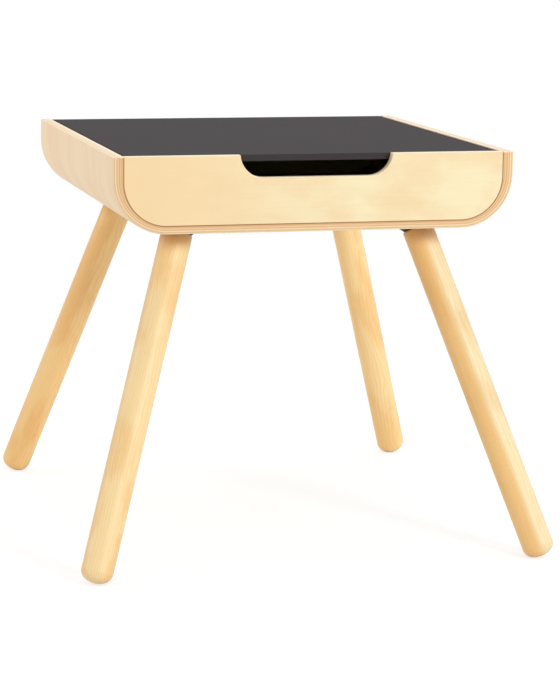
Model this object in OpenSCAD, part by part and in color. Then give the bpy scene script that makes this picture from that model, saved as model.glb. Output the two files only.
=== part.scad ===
// Low table for children: a storage box of bent plywood on four splayed dowel legs.
// The dark top is a lid that hinges up at the back of the box, and a wide finger notch
// in the front panel gives a grip on its front edge.
//
// Millimetres. X runs to the right, Y to the back and Z up. The origin is on the floor,
// under the middle of the table.

/* [Overall size] */
// Outside width, across the two side walls
table_w = 500; // [440:5:640]
// Outside depth, from the front panel to the back panel
table_d = 500; // [440:5:640]
// Height of the wall tops above the floor
table_h = 502; // [420:2:620]

/* [Bent shell] */
// Height of the storage box, from its underside to the wall tops
box_h = 93; // [92:0.5:150]
// Thickness of the bent plywood
shell_t = 13.5; // [12:0.5:16]
// Outside radius of the two bends
bend_r = 66; // [40:1:68]
// Depth that the end panels are let into the floor of the shell
panel_let_in = 3.5; // [1:0.5:4]
// Rounding of the shell's outer edges
shell_ease = 1.5; // [0.5:0.25:2.5]

/* [End panels] */
// Thickness of the front and back panels
panel_t = 11; // [10:0.5:14]
// Glue line between a panel and the shell
glue_line = 0.2; // [0.1:0.05:0.3]
// Rounding of the panels' free edges
panel_ease = 1; // [0.5:0.25:2]

/* [Finger notch] */
// Width of the notch at the top edge of the front panel
notch_w = 190; // [120:2:260]
// Depth of the notch below the top edge
notch_depth = 27; // [18:0.5:34]
// Radius of the notch's two lower corners
notch_r = 29; // [20:0.5:36]

/* [Panel dowels] */
// Diameter of a panel dowel
dowel_d = 6; // [5:0.5:7]
// Length of a panel dowel
dowel_l = 24; // [20:1:28]
// How deep a dowel goes into the shell's floor
dowel_floor_bite = 6.5; // [4:0.5:8]
// How deep a dowel goes into a side wall
dowel_wall_bite = 9; // [5:0.5:10]
// Spacing of the three dowels along the floor
dowel_pitch = 130; // [90:5:170]
// Distance of the side dowels below the top of the back panel
dowel_drop = 10.6; // [6:0.2:13]

/* [Lid] */
// Thickness of the lid
lid_t = 8; // [7:0.5:12]
// Depth of the lid's top face below the wall tops
lid_recess = 0.6; // [0:0.1:6]
// Gap around the lid at the walls and the front panel
lid_gap = 1.6; // [1:0.1:3]
// Distance of the lid's back edge from the outside of the back panel
lid_back_inset = 0.5; // [0:0.1:2]
// Gap between the underside of the lid and the top of the back panel
lid_lift = 0.4; // [0.3:0.1:1]
// Rounding of the lid's edges
lid_ease = 0.8; // [0.4:0.1:1.5]
// How far the lid opens, in degrees
lid_open = 95; // [90:1:105]

/* [Lid rests] */
// Width of a lid rest, out from the wall
rest_w = 12; // [10:1:20]
// Height of a lid rest
rest_h = 14; // [12:1:24]
// Rounding of a lid rest's lower inner edge
rest_ease = 4; // [1:0.5:8]
// Gap between the end of a lid rest and a panel
rest_end_gap = 0.3; // [0.2:0.1:2]
// Diameter of a soft pad on a lid rest
pad_d = 8; // [6:0.5:9]
// Thickness of a soft pad
pad_t = 3; // [2:0.5:4]
// How far a pad stands proud of its lid rest
pad_proud = 1; // [0.5:0.25:1.5]
// Gap between the pads and the closed lid
pad_gap = 0.2; // [0.1:0.1:0.3]
// Distance of the pads from the ends of the lid rest
pad_inset = 40; // [25:5:55]
// Distance of the outer screws from the ends of the lid rest
rest_screw_inset = 80; // [70:5:120]

/* [Lid hinges] */
// Distance from the outside of a wall to the middle of a hinge
hinge_inset = 100; // [65:5:160]
// Length of a hinge
hinge_l = 50; // [40:5:70]
// Thickness of a hinge leaf
leaf_t = 1.2; // [1:0.1:1.6]
// Distance of a leaf's inner edge from the inner face of the back panel
leaf_margin = 1.5; // [1:0.5:3]
// Outside radius of the knuckles
knuckle_r = 3; // [2.5:0.1:3.5]
// Gap between the knuckles and the outside of the back panel
knuckle_gap = 0.3; // [0.2:0.1:1]
// End play between two knuckles
knuckle_play = 0.3; // [0.2:0.1:0.5]
// Radius of the hinge pin
pin_r = 1.5; // [1.2:0.1:1.8]
// Running clearance around the hinge pin
pin_clear = 0.05; // [0.02:0.01:0.08]
// Reach of the stop tabs from the pin's axis
tab_l = 7; // [6:0.5:9]
// Gap left at the stop tabs when the lid is fully open
tab_gap = 0.3; // [0.2:0.1:0.5]
// Gap around a leaf in its recess
leaf_fit = 0.2; // [0.1:0.05:0.4]
// Radius of the heads of the hinge pin
pin_head_r = 2.4; // [2:0.1:2.5]
// Thickness of the heads of the hinge pin
pin_head_t = 0.8; // [0.5:0.1:1.5]

/* [Leg mounts] */
// Thickness of the pressed steel of a mount
plate_t = 1.8; // [1.5:0.1:2.5]
// Radius of the slanted seat that a leg butts against
seat_r = 17; // [15:0.5:18]
// Half angle of the cone that joins the seat to the plate, in degrees
seat_flare = 38; // [30:1:42]
// Width of the flat rim around the pressed seat
plate_rim = 11.8; // [11:0.2:16]
// Distance of the mount's screws from the edge of its rim
mount_screw_inset = 8; // [6:0.5:10]
// Gap between the top edge of a leg and the mount's rim
leg_head_gap = 0.2; // [0.1:0.1:3]

/* [Legs] */
// Diameter of a leg
leg_d = 39; // [34:0.5:42]
// Distance from the outside of a wall to a leg's axis, at the underside of the box
leg_inset_x = 98.6; // [95:0.2:120]
// Distance from the outside of an end panel to a leg's axis, at the same level
leg_inset_y = 82; // [80:0.5:120]
// Splay of the legs to the sides, in degrees
leg_splay_x = 17.9; // [8:0.1:19]
// Splay of the legs to the front and back, in degrees
leg_splay_y = 18.7; // [8:0.1:20]
// Rounding at the top of a leg
leg_top_round = 2; // [1.8:0.1:3]
// Radius of the turn from a leg's side to its foot
foot_turn_r = 13; // [9:0.5:15]
// Radius of the dome under a foot
foot_dome_r = 28; // [24:1:60]

/* [Leg fittings] */
// Radius of the bolt that joins a leg to its mount
bolt_r = 4; // [3:0.5:4]
// Radius of the bolt's wood screw end
bolt_wood_r = 3.7; // [2.7:0.1:3.9]
// Depth of the bolt in the leg
bolt_in_leg = 40; // [30:1:60]
// Outside radius of the threaded insert in the seat
insert_r = 6.5; // [5.5:0.1:6.5]
// Length of the threaded insert
insert_l = 7.2; // [5:0.1:7.2]
// Distance from the end of the bolt to the end of the insert
bolt_set_back = 0.4; // [0:0.1:2]

/* [Screws] */
// Clearance around screws and dowels in their holes
wood_fit = 0.05; // [0.02:0.01:0.1]
// Clearance around screws in the holes of metal pieces
metal_fit = 0.25; // [0.1:0.05:0.5]
// Shank radius of the mount screws
mount_screw_r = 2; // [1.5:0.25:2.5]
// Wood between the point of a mount screw and the inside of the box
mount_screw_cover = 3.3; // [1:0.1:6]
// Shank radius of the lid rest screws
rest_screw_r = 1.75; // [1.5:0.25:2]
// Wood between the point of a lid rest screw and the outside of the box
rest_screw_cover = 5; // [1:0.5:8]
// Shank radius of the hinge screws
hinge_screw_r = 1.3; // [1:0.1:1.5]
// Length of the hinge screws in the back panel
hinge_screw_l = 12; // [8:1:16]
// Thickness left between the point of a hinge screw and the top of the lid
hinge_screw_cover = 1.5; // [1:0.1:2.5]

/* [Hidden] */
$fn = 96;

LEFT = -1;
RIGHT = 1;
FRONT = -1;
BACK = 1;

// Overlap that carries a cut past the surface it opens
eps = 1;

// Colours
ply_colour = [0.93, 0.83, 0.66];
panel_colour = [0.96, 0.88, 0.70];
leg_colour = [0.95, 0.79, 0.57];
lid_colour = [0.32, 0.31, 0.32];
rest_colour = [0.90, 0.76, 0.55];
dowel_colour = [0.88, 0.74, 0.52];
steel_colour = [0.75, 0.76, 0.78];
mount_colour = [0.08, 0.08, 0.09];
pad_colour = [0.20, 0.20, 0.21];

// Box levels and faces
box_z = table_h - box_h;
inner_x = table_w / 2 - shell_t;
inner_y = table_d / 2 - panel_t;
inner_bend_r = bend_r - shell_t;
panel_foot_z = shell_t - panel_let_in;
lid_under_z = table_h - lid_recess - lid_t;
back_panel_top_z = lid_under_z - lid_lift;

// Finger notch: its round corners run out at the top edge where it is shallow
notch_corner_drop = min(notch_depth, notch_r);
notch_corner_w = sqrt(notch_r * notch_r - pow(notch_r - notch_corner_drop, 2));
notch_flat_w = notch_w - 2 * notch_corner_w;

// Lid
lid_w = 2 * (inner_x - lid_gap);
lid_front_y = -inner_y + lid_gap;
lid_back_y = table_d / 2 - lid_back_inset;
lid_d = lid_back_y - lid_front_y;

// Lid rests
rest_top_z = lid_under_z - pad_gap - pad_proud;
rest_l = 2 * (inner_y - rest_end_gap);
rest_screw_pitch = rest_l / 2 - rest_screw_inset;
rest_screw_l = rest_w + shell_t - rest_screw_cover;
rest_screw_head_r = 2 * rest_screw_r;

// Hinges: the axis lies behind the box, level with the gap under the lid
hinge_x = table_w / 2 - hinge_inset;
hinge_y = table_d / 2 + knuckle_gap + knuckle_r;
hinge_z = (lid_under_z + back_panel_top_z) / 2;
knuckle_count = 5;
knuckle_pitch = hinge_l / knuckle_count;
knuckle_l = knuckle_pitch - knuckle_play;
leaf_inner_y = inner_y + leaf_margin;
leaf_hole_y = (leaf_inner_y + table_d / 2) / 2;
leaf_hole_pitch = hinge_l / 3;
FIXED_KNUCKLES = [0, 2, 4];
MOVING_KNUCKLES = [1, 3];
hinge_screw_head_r = 2 * hinge_screw_r;
hinge_screw_head_h = leaf_t;
hinge_screw_lid_l = lid_t - hinge_screw_cover;
tab_t = leaf_t;
tab_reach = knuckle_r + knuckle_gap - tab_gap - tab_t / 2;
tab_angle = lid_open - 90 - asin(tab_reach / tab_l);

// Legs
leg_r = leg_d / 2;
leg_x = table_w / 2 - leg_inset_x;
leg_y = table_d / 2 - leg_inset_y;
leg_run = [tan(leg_splay_x), tan(leg_splay_y)];
leg_tilt = atan(norm(leg_run));

// Leg mounts. The leg's top edge stays clear of the rim, and the seat flares up to it: in the
// plane of the splay it opens at flare_out on the leg's side and at flare_in on the other.
seat_drop = (plate_t + leg_head_gap + (leg_r - leg_top_round) * sin(leg_tilt)
    + leg_top_round * (1 - cos(leg_tilt))) / cos(leg_tilt);
flare_slope = tan(seat_flare);
flare_lean = flare_slope * tan(leg_tilt);
flare_r = seat_r + seat_drop * flare_slope;
flare_in = flare_r / (1 - flare_lean) / cos(leg_tilt);
flare_out = flare_r / (1 + flare_lean) / cos(leg_tilt);
flare_h = seat_drop + flare_in * sin(leg_tilt) + eps;
plate_shift = (flare_in - flare_out) / 2;
plate_r = (flare_in + flare_out) / 2 + plate_rim;

// Foot: a dome that meets the leg's side in a rounded turn
foot_turn_x = leg_r - foot_turn_r;
foot_turn_angle = asin(foot_turn_x / (foot_dome_r - foot_turn_r));
foot_turn_z = foot_dome_r - (foot_dome_r - foot_turn_r) * cos(foot_turn_angle);
foot_lift = leg_tilt <= foot_turn_angle
    ? foot_dome_r * (1 - cos(leg_tilt))
    : foot_turn_x * sin(leg_tilt) + foot_turn_r - foot_turn_z * cos(leg_tilt);
leg_tip = (box_z - foot_lift) / cos(leg_tilt);
leg_l = leg_tip - seat_drop;

// Leg fittings
bolt_top = seat_drop - insert_l + bolt_set_back;
bolt_point_l = 2 * bolt_r;
bolt_collar = 2;
mount_screw_count = 4;
mount_screw_circle = plate_r - mount_screw_inset;
mount_screw_l = plate_t + shell_t - mount_screw_cover;
mount_screw_head_r = 2 * mount_screw_r;
mount_screw_head_h = 1.3 * mount_screw_r;
mount_screw_top_r = 1.2 * mount_screw_r;

// Room left past the end of a screw, bolt or dowel in its hole
hole_extra = 0.5;

// ---------------------------------------------------------------- shared shapes

// Outline of a tub with round lower corners, standing on y = 0
module tub_outline(w, h, r) {
    translate([-w / 2, r]) square([w, h - r]);
    translate([-w / 2 + r, 0]) square([w - 2 * r, r]);
    intersection() {
        translate([-w / 2, 0]) square([w, r]);
        for (side = [LEFT, RIGHT]) {
            translate([side * (w / 2 - r), r]) circle(r);
        }
    }
}

// Turns what faces right to the given side
module to_side(side) {
    mirror([side == LEFT ? 1 : 0, 0, 0]) children();
}

// Turns what faces the front to the given end
module to_end(end) {
    mirror([0, end == BACK ? 1 : 0, 0]) children();
}

// Extrudes an outline in X and Z along the table's depth, about y = 0
module along_depth(l) {
    rotate([90, 0, 0]) linear_extrude(height = l, center = true) children();
}

// Section of what an edge rounding takes off. The edge is at the origin and the material
// lies at negative x and y.
module ease_section(r) {
    translate([-r, -r]) difference() {
        square(r + eps);
        circle(r);
    }
}

// Rounds an upper front edge that runs along X, about x = 0
module ease_along_x(l, r) {
    rotate([90, 0, 90]) linear_extrude(height = l, center = true)
        mirror([1, 0]) ease_section(r);
}

// Rounds an upper right edge that runs along Y, about y = 0
module ease_along_y(l, r) {
    along_depth(l) ease_section(r);
}

// Rounds the outer edge of a tub's front face, which lies in the plane y = 0
module ease_tub_edge(w, h, r, ease) {
    for (side = [LEFT, RIGHT]) to_side(side) {
        translate([w / 2, 0, r]) linear_extrude(height = h - r + eps)
            mirror([0, 1]) ease_section(ease);
        translate([w / 2 - r, 0, r]) rotate([90, 0, 0]) rotate([0, 0, -90])
            rotate_extrude(angle = 90) translate([r, 0]) ease_section(ease);
    }
    rotate([0, 90, 0]) linear_extrude(height = w - 2 * r, center = true)
        mirror([0, 1]) ease_section(ease);
}

// Countersunk screw that points down, with the top of its head at the origin
module countersunk_screw(shank_r, head_r, head_h, l, fit = 0, extra = 0) {
    point_l = 2 * shank_r;
    translate([0, 0, -head_h]) cylinder(h = head_h, r1 = shank_r + fit, r2 = head_r + fit);
    translate([0, 0, -l + point_l - extra])
        cylinder(h = l - point_l - head_h + extra, r = shank_r + fit);
    translate([0, 0, -l - extra]) cylinder(h = point_l, r1 = shank_r / 3 + fit, r2 = shank_r + fit);
}

// ---------------------------------------------------------------- panel dowels

// Wooden dowel along Z, with chamfered ends, that starts below the joint by its bite
module dowel(bite) {
    r = dowel_d / 2;
    chamfer = 1;
    translate([0, 0, -bite]) {
        cylinder(h = chamfer, r1 = r - chamfer, r2 = r);
        translate([0, 0, chamfer]) cylinder(h = dowel_l - 2 * chamfer, r = r);
        translate([0, 0, dowel_l - chamfer]) cylinder(h = chamfer, r1 = r, r2 = r - chamfer);
    }
}

// Hole for a dowel, a little deeper than the dowel at each end
module dowel_hole(bite) {
    translate([0, 0, -bite - hole_extra])
        cylinder(h = dowel_l + 2 * hole_extra, r = dowel_d / 2 + wood_fit);
}

// Puts a piece at each joint between an end panel and the floor of the shell
module at_floor_dowels(end) {
    for (i = [-1, 0, 1]) {
        translate([i * dowel_pitch, end * (table_d - panel_t) / 2, box_z + panel_foot_z])
            children();
    }
}

// Puts a piece at each joint between an end panel and a side wall
module at_wall_dowels(end) {
    for (side = [LEFT, RIGHT]) {
        translate([side * inner_x, end * (table_d - panel_t) / 2, back_panel_top_z - dowel_drop])
            rotate([0, -90 * side, 0]) children();
    }
}

module panel_dowels(end) {
    color(dowel_colour) {
        at_floor_dowels(end) dowel(dowel_floor_bite);
        at_wall_dowels(end) dowel(dowel_wall_bite);
    }
}

module panel_dowel_holes(end) {
    at_floor_dowels(end) dowel_hole(dowel_floor_bite);
    at_wall_dowels(end) dowel_hole(dowel_wall_bite);
}

// ---------------------------------------------------------------- box

// Outline of the space in the shell, standing on its floor at y = 0
module space_outline() {
    tub_outline(2 * inner_x, box_h, inner_bend_r);
}

// Seat of an end panel: it takes the panel's outline out of the end of the shell
module panel_seat(end) {
    to_end(end)
        translate([0, -inner_y - (panel_t + eps) / 2, box_z + panel_foot_z])
        along_depth(panel_t + eps) space_outline();
}

// Floor and both side walls, bent in one piece
module shell() {
    color(ply_colour) difference() {
        translate([0, 0, box_z]) along_depth(table_d) difference() {
            tub_outline(table_w, box_h, bend_r);
            translate([0, shell_t]) space_outline();
        }
        for (end = [FRONT, BACK]) {
            panel_seat(end);
            panel_dowel_holes(end);
            to_end(end) translate([0, -table_d / 2, box_z])
                ease_tub_edge(table_w, box_h, bend_r, shell_ease);
        }
        for (side = [LEFT, RIGHT]) {
            to_side(side) translate([table_w / 2, 0, table_h])
                ease_along_y(table_d + 2 * eps, shell_ease);
            rest_screw_holes(side);
            for (end = [FRONT, BACK]) mount_screw_holes(side, end);
        }
    }
}

// Blank of an end panel, up to the given level, with its dowel holes
module panel_blank(end, top_z) {
    foot_z = box_z + panel_foot_z + glue_line;
    difference() {
        translate([0, end * (table_d - panel_t) / 2, foot_z]) along_depth(panel_t)
            tub_outline(2 * (inner_x - glue_line), top_z - foot_z, inner_bend_r - glue_line);
        panel_dowel_holes(end);
    }
}

// Outline of the finger notch, standing on y = 0 and open at the top
module notch_outline() {
    intersection() {
        union() {
            translate([-notch_flat_w / 2, 0]) square([notch_flat_w, notch_r]);
            translate([-notch_flat_w / 2 - notch_r, notch_r])
                square([notch_flat_w + 2 * notch_r, notch_depth]);
            for (side = [LEFT, RIGHT]) {
                translate([side * notch_flat_w / 2, notch_r]) circle(notch_r);
            }
        }
        translate([-notch_w, 0]) square([2 * notch_w, notch_depth + eps]);
    }
}

// Rounds the notch's front edge, which lies in the plane y = 0
module ease_notch_edge() {
    ease_along_x(notch_flat_w, panel_ease);
    for (side = [LEFT, RIGHT]) to_side(side) translate([notch_flat_w / 2, 0, notch_r]) {
        rotate([90, 0, 0]) rotate([0, 0, -90]) rotate_extrude(angle = 90)
            translate([notch_r, 0]) mirror([1, 0]) ease_section(panel_ease);
        translate([notch_r, 0, 0]) linear_extrude(height = notch_depth)
            mirror([1, 0]) mirror([0, 1]) ease_section(panel_ease);
    }
}

module front_panel() {
    color(panel_colour) difference() {
        panel_blank(FRONT, table_h);
        translate([0, -table_d / 2 + panel_t / 2, table_h - notch_depth])
            along_depth(panel_t + 2 * eps) notch_outline();
        for (y = [-table_d / 2, -inner_y]) {
            translate([0, y, 0]) mirror([0, y == -inner_y ? 1 : 0, 0]) {
                translate([0, 0, table_h]) ease_along_x(table_w, panel_ease);
                translate([0, 0, table_h - notch_depth]) ease_notch_edge();
            }
        }
    }
}

// The back panel ends below the lid, and carries the fixed leaves of the hinges
module back_panel() {
    color(panel_colour) difference() {
        panel_blank(BACK, back_panel_top_z);
        for (side = [LEFT, RIGHT]) at_hinge(side) {
            translate([0, 0, -leaf_t - lid_lift / 2]) leaf_mortise();
            leaf_screws(hinge_screw_l, wood_fit, hole_extra);
        }
    }
}

// ---------------------------------------------------------------- lid and its rests

module lid() {
    color(lid_colour) difference() {
        translate([-lid_w / 2, lid_front_y, lid_under_z]) cube([lid_w, lid_d, lid_t]);
        for (level = [0, 1]) translate([0, 0, lid_under_z + level * lid_t])
            mirror([0, 0, 1 - level]) {
                translate([0, lid_front_y, 0]) ease_along_x(lid_w + 2 * eps, lid_ease);
                translate([0, lid_back_y, 0]) to_end(BACK)
                    ease_along_x(lid_w + 2 * eps, lid_ease);
                for (side = [LEFT, RIGHT]) to_side(side)
                    translate([lid_w / 2, 0, 0]) ease_along_y(table_d + 2 * eps, lid_ease);
            }
        for (side = [LEFT, RIGHT]) at_hinge(side) mirror([0, 0, 1]) {
            translate([0, 0, -leaf_t - lid_lift / 2]) leaf_mortise();
            leaf_screws(hinge_screw_lid_l, wood_fit, hole_extra);
        }
    }
}

// Puts a piece on the upper inner edge of the right lid rest, or of the left one mirrored
module at_rest(side) {
    to_side(side) translate([inner_x - rest_w, 0, rest_top_z]) children();
}

// Wooden strip under a side edge of the lid, which follows the shell where it bends
module lid_rest(side) {
    color(rest_colour) difference() {
        intersection() {
            at_rest(side) translate([0, 0, -rest_h]) along_depth(rest_l) difference() {
                square([rest_w, rest_h]);
                mirror([1, 0]) mirror([0, 1]) ease_section(rest_ease);
            }
            translate([0, 0, box_z + shell_t]) along_depth(rest_l + 2 * eps) space_outline();
        }
        rest_screw_holes(side);
        at_pads(side) translate([0, 0, pad_proud - pad_t])
            cylinder(h = pad_t + eps, r = pad_d / 2 + wood_fit);
    }
}

// Puts a piece at each screw of a lid rest, with its z axis pointing out of the wood
module at_rest_screws(side) {
    at_rest(side) for (i = [-1, 0, 1]) {
        translate([0, i * rest_screw_pitch, -rest_h / 2]) rotate([0, -90, 0]) children();
    }
}

module rest_screw_holes(side) {
    at_rest_screws(side) countersunk_screw(
        rest_screw_r, rest_screw_head_r, rest_screw_r, rest_screw_l, wood_fit, hole_extra);
}

module lid_rest_screws() {
    color(steel_colour) for (side = [LEFT, RIGHT]) at_rest_screws(side)
        countersunk_screw(rest_screw_r, rest_screw_head_r, rest_screw_r, rest_screw_l);
}

// Puts a piece at each pad of a lid rest, on the rest's top face
module at_pads(side) {
    at_rest(side) for (end = [FRONT, BACK]) {
        translate([rest_w / 2, end * (rest_l / 2 - pad_inset), 0]) children();
    }
}

// Soft pads that the closed lid lies on
module lid_pads() {
    color(pad_colour) for (side = [LEFT, RIGHT]) at_pads(side)
        translate([0, 0, pad_proud - pad_t]) cylinder(h = pad_t, r = pad_d / 2);
}

// ---------------------------------------------------------------- lid hinges

// Puts a piece on the axis of a hinge, which runs along X
module at_hinge(side) {
    translate([side * hinge_x, hinge_y, hinge_z]) children();
}

// Puts a piece at the middle of each knuckle of a list
module at_knuckles(list) {
    for (i = list) {
        translate([(i + 0.5) * knuckle_pitch - hinge_l / 2, 0, 0]) children();
    }
}

// Recess for a leaf that lies below the axis
module leaf_mortise() {
    translate([-hinge_l / 2 - leaf_fit, leaf_inner_y - leaf_fit - hinge_y, 0])
        cube([hinge_l + 2 * leaf_fit, hinge_y - leaf_inner_y + leaf_fit, leaf_t + lid_lift]);
}

// The screws of a leaf that lies below the axis
module leaf_screws(l, fit = 0, extra = 0) {
    for (i = [-1, 0, 1]) {
        translate([i * leaf_hole_pitch, leaf_hole_y - hinge_y, -lid_lift / 2])
            countersunk_screw(hinge_screw_r, hinge_screw_head_r, hinge_screw_head_h, l, fit, extra);
    }
}

// Section of a leaf across its axis, with or without the knuckle at its end
module leaf_section(knuckle) {
    start = leaf_inner_y - hinge_y;
    reach = knuckle ? -start : -start - knuckle_r - knuckle_gap;
    translate([start, -leaf_t - lid_lift / 2]) square([reach, leaf_t]);
    if (knuckle) circle(knuckle_r);
}

// Extrudes a section in Y and Z along a hinge's axis, about x = 0
module along_axis(l) {
    rotate([90, 0, 90]) linear_extrude(height = l, center = true) children();
}

// Leaf below the axis, with its own knuckles
module hinge_leaf(own) {
    difference() {
        union() {
            along_axis(hinge_l) leaf_section(false);
            at_knuckles(own) along_axis(knuckle_l) leaf_section(true);
            children();
        }
        along_axis(hinge_l + 2 * eps) circle(pin_r + pin_clear);
        leaf_screws(hinge_screw_l, metal_fit);
    }
}

module hinge_fixed_leaf(side) {
    color(steel_colour) at_hinge(side) hinge_leaf(FIXED_KNUCKLES);
}

// The moving leaf lies in the lid. Its tabs meet the back panel when the lid is open.
module hinge_moving_leaf(side) {
    color(steel_colour) at_hinge(side) mirror([0, 0, 1])
        hinge_leaf(MOVING_KNUCKLES)
        at_knuckles(MOVING_KNUCKLES) rotate([-tab_angle, 0, 0])
        translate([-knuckle_l / 2, 0, -tab_t / 2]) cube([knuckle_l, tab_l, tab_t]);
}

module hinge_pin(side) {
    half_l = hinge_l / 2 - knuckle_play / 2;
    color(steel_colour) at_hinge(side) rotate([0, 90, 0]) {
        cylinder(h = 2 * half_l, r = pin_r, center = true);
        for (end = [0, 1]) mirror([0, 0, end]) translate([0, 0, half_l])
            cylinder(h = pin_head_t, r = pin_head_r);
    }
}

module hinge_screws_panel() {
    color(steel_colour) for (side = [LEFT, RIGHT]) at_hinge(side) leaf_screws(hinge_screw_l);
}

module hinge_screws_lid() {
    color(steel_colour) for (side = [LEFT, RIGHT]) at_hinge(side) mirror([0, 0, 1])
        leaf_screws(hinge_screw_lid_l);
}

// ---------------------------------------------------------------- legs and their mounts

// Puts a piece where a leg's axis meets the underside, with its x axis along the splay
module at_leg_plan(side, end) {
    translate([side * leg_x, end * leg_y, box_z])
        rotate([0, 0, atan2(end * leg_run[1], side * leg_run[0])]) children();
}

// The same, with its z axis along the leg
module at_leg(side, end) {
    at_leg_plan(side, end) rotate([0, -leg_tilt, 0]) children();
}

// Half section of a leg that stands on y = 0
module leg_section() {
    side_l = leg_l - foot_turn_z;
    reach = foot_dome_r / cos(foot_turn_angle / 2) + eps;
    translate([0, foot_turn_z]) {
        square([leg_r, side_l - leg_top_round]);
        square([leg_r - leg_top_round, side_l]);
        translate([leg_r - leg_top_round, side_l - leg_top_round]) circle(leg_top_round);
    }
    intersection() {
        translate([foot_turn_x, foot_turn_z]) circle(foot_turn_r);
        square([leg_r, foot_turn_z]);
    }
    intersection() {
        translate([0, foot_dome_r]) circle(foot_dome_r);
        polygon([
            [0, -eps],
            [reach * sin(foot_turn_angle), foot_dome_r - reach * cos(foot_turn_angle)],
            [0, foot_dome_r]
        ]);
    }
}

// Solid round leg with a bore for its bolt
module leg(side, end) {
    color(leg_colour) at_leg(side, end) difference() {
        translate([0, 0, -leg_tip]) rotate_extrude() leg_section();
        translate([0, 0, -seat_drop]) {
            translate([0, 0, -bolt_collar]) cylinder(h = bolt_collar + eps, r = bolt_r + wood_fit);
            translate([0, 0, -bolt_in_leg - hole_extra])
                cylinder(h = bolt_in_leg, r = bolt_wood_r + wood_fit);
        }
    }
}

// Double-ended bolt: the upper end screws into the mount, the lower one into the leg
module leg_bolt(side, end) {
    wood_l = bolt_in_leg - bolt_collar - bolt_point_l;
    color(steel_colour) at_leg(side, end) {
        translate([0, 0, -seat_drop - bolt_collar])
            cylinder(h = seat_drop + bolt_collar - bolt_top, r = bolt_r);
        translate([0, 0, -seat_drop - bolt_collar - wood_l]) cylinder(h = wood_l, r = bolt_wood_r);
        translate([0, 0, -seat_drop - bolt_in_leg])
            cylinder(h = bolt_point_l, r1 = bolt_wood_r / 4, r2 = bolt_wood_r);
    }
}

// Threaded sleeve that is riveted into the mount's seat
module leg_insert(side, end) {
    color(steel_colour) at_leg(side, end) translate([0, 0, -seat_drop]) difference() {
        cylinder(h = insert_l, r = insert_r);
        translate([0, 0, -eps]) cylinder(h = insert_l + 2 * eps, r = bolt_r + wood_fit);
    }
}

// Cone of the pressed seat, standing on the seat, less the given thickness of its wall
module seat_cone(wall) {
    r1 = seat_r + wall * (flare_slope - 1 / cos(seat_flare));
    translate([0, 0, wall - seat_drop])
        cylinder(h = flare_h, r1 = r1, r2 = r1 + flare_h * flare_slope);
}

// Puts a piece at each screw of a mount, on the plate's lower face
module at_mount_screws(side, end) {
    at_leg_plan(side, end) for (i = [0:mount_screw_count - 1]) {
        translate([-plate_shift, 0, -plate_t]) rotate([0, 0, (i + 0.5) * 360 / mount_screw_count])
            translate([mount_screw_circle, 0, 0]) children();
    }
}

// Round plate with a slanted seat pressed into it, square to the leg
module leg_mount(side, end) {
    room = 2 * plate_r;
    color(mount_colour) difference() {
        at_leg_plan(side, end) difference() {
            union() {
                translate([-plate_shift, 0, -plate_t]) cylinder(h = plate_t, r = plate_r);
                intersection() {
                    rotate([0, -leg_tilt, 0]) seat_cone(0);
                    translate([-room, -room, -room]) cube([2 * room, 2 * room, room]);
                }
            }
            rotate([0, -leg_tilt, 0]) {
                seat_cone(plate_t);
                translate([0, 0, -seat_drop - eps])
                    cylinder(h = seat_drop, r = insert_r + wood_fit);
            }
        }
        at_mount_screws(side, end) translate([0, 0, -eps])
            cylinder(h = plate_t + 2 * eps, r = mount_screw_r + metal_fit);
    }
}

// Round-headed screw that points up, seated at the origin
module mount_screw() {
    point_l = 2 * mount_screw_r;
    rim_h = mount_screw_head_h / 2;
    cylinder(h = mount_screw_l - point_l, r = mount_screw_r);
    translate([0, 0, mount_screw_l - point_l])
        cylinder(h = point_l, r1 = mount_screw_r, r2 = mount_screw_r / 3);
    translate([0, 0, -rim_h]) cylinder(h = rim_h, r = mount_screw_head_r);
    translate([0, 0, -mount_screw_head_h])
        cylinder(h = mount_screw_head_h - rim_h, r1 = mount_screw_top_r, r2 = mount_screw_head_r);
}

module leg_mount_screws() {
    color(steel_colour) for (side = [LEFT, RIGHT]) for (end = [FRONT, BACK])
        at_mount_screws(side, end) mount_screw();
}

module mount_screw_holes(side, end) {
    at_mount_screws(side, end)
        cylinder(h = mount_screw_l + hole_extra, r = mount_screw_r + wood_fit);
}

// ---------------------------------------------------------------- nodes

shell();
front_panel();
back_panel();
panel_dowels(FRONT);  // front_panel_dowels
panel_dowels(BACK);  // back_panel_dowels
lid();
lid_rest(LEFT);  // lid_rest_left
lid_rest(RIGHT);  // lid_rest_right
lid_rest_screws();
lid_pads();
hinge_fixed_leaf(LEFT);  // hinge_left_fixed_leaf
hinge_moving_leaf(LEFT);  // hinge_left_moving_leaf
hinge_pin(LEFT);  // hinge_left_pin
hinge_fixed_leaf(RIGHT);  // hinge_right_fixed_leaf
hinge_moving_leaf(RIGHT);  // hinge_right_moving_leaf
hinge_pin(RIGHT);  // hinge_right_pin
hinge_screws_panel();
hinge_screws_lid();
leg(LEFT, FRONT);  // leg_front_left
leg(RIGHT, FRONT);  // leg_front_right
leg(LEFT, BACK);  // leg_back_left
leg(RIGHT, BACK);  // leg_back_right
leg_mount(LEFT, FRONT);  // leg_mount_front_left
leg_mount(RIGHT, FRONT);  // leg_mount_front_right
leg_mount(LEFT, BACK);  // leg_mount_back_left
leg_mount(RIGHT, BACK);  // leg_mount_back_right
leg_insert(LEFT, FRONT);  // leg_insert_front_left
leg_insert(RIGHT, FRONT);  // leg_insert_front_right
leg_insert(LEFT, BACK);  // leg_insert_back_left
leg_insert(RIGHT, BACK);  // leg_insert_back_right
leg_bolt(LEFT, FRONT);  // leg_bolt_front_left
leg_bolt(RIGHT, FRONT);  // leg_bolt_front_right
leg_bolt(LEFT, BACK);  // leg_bolt_back_left
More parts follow.
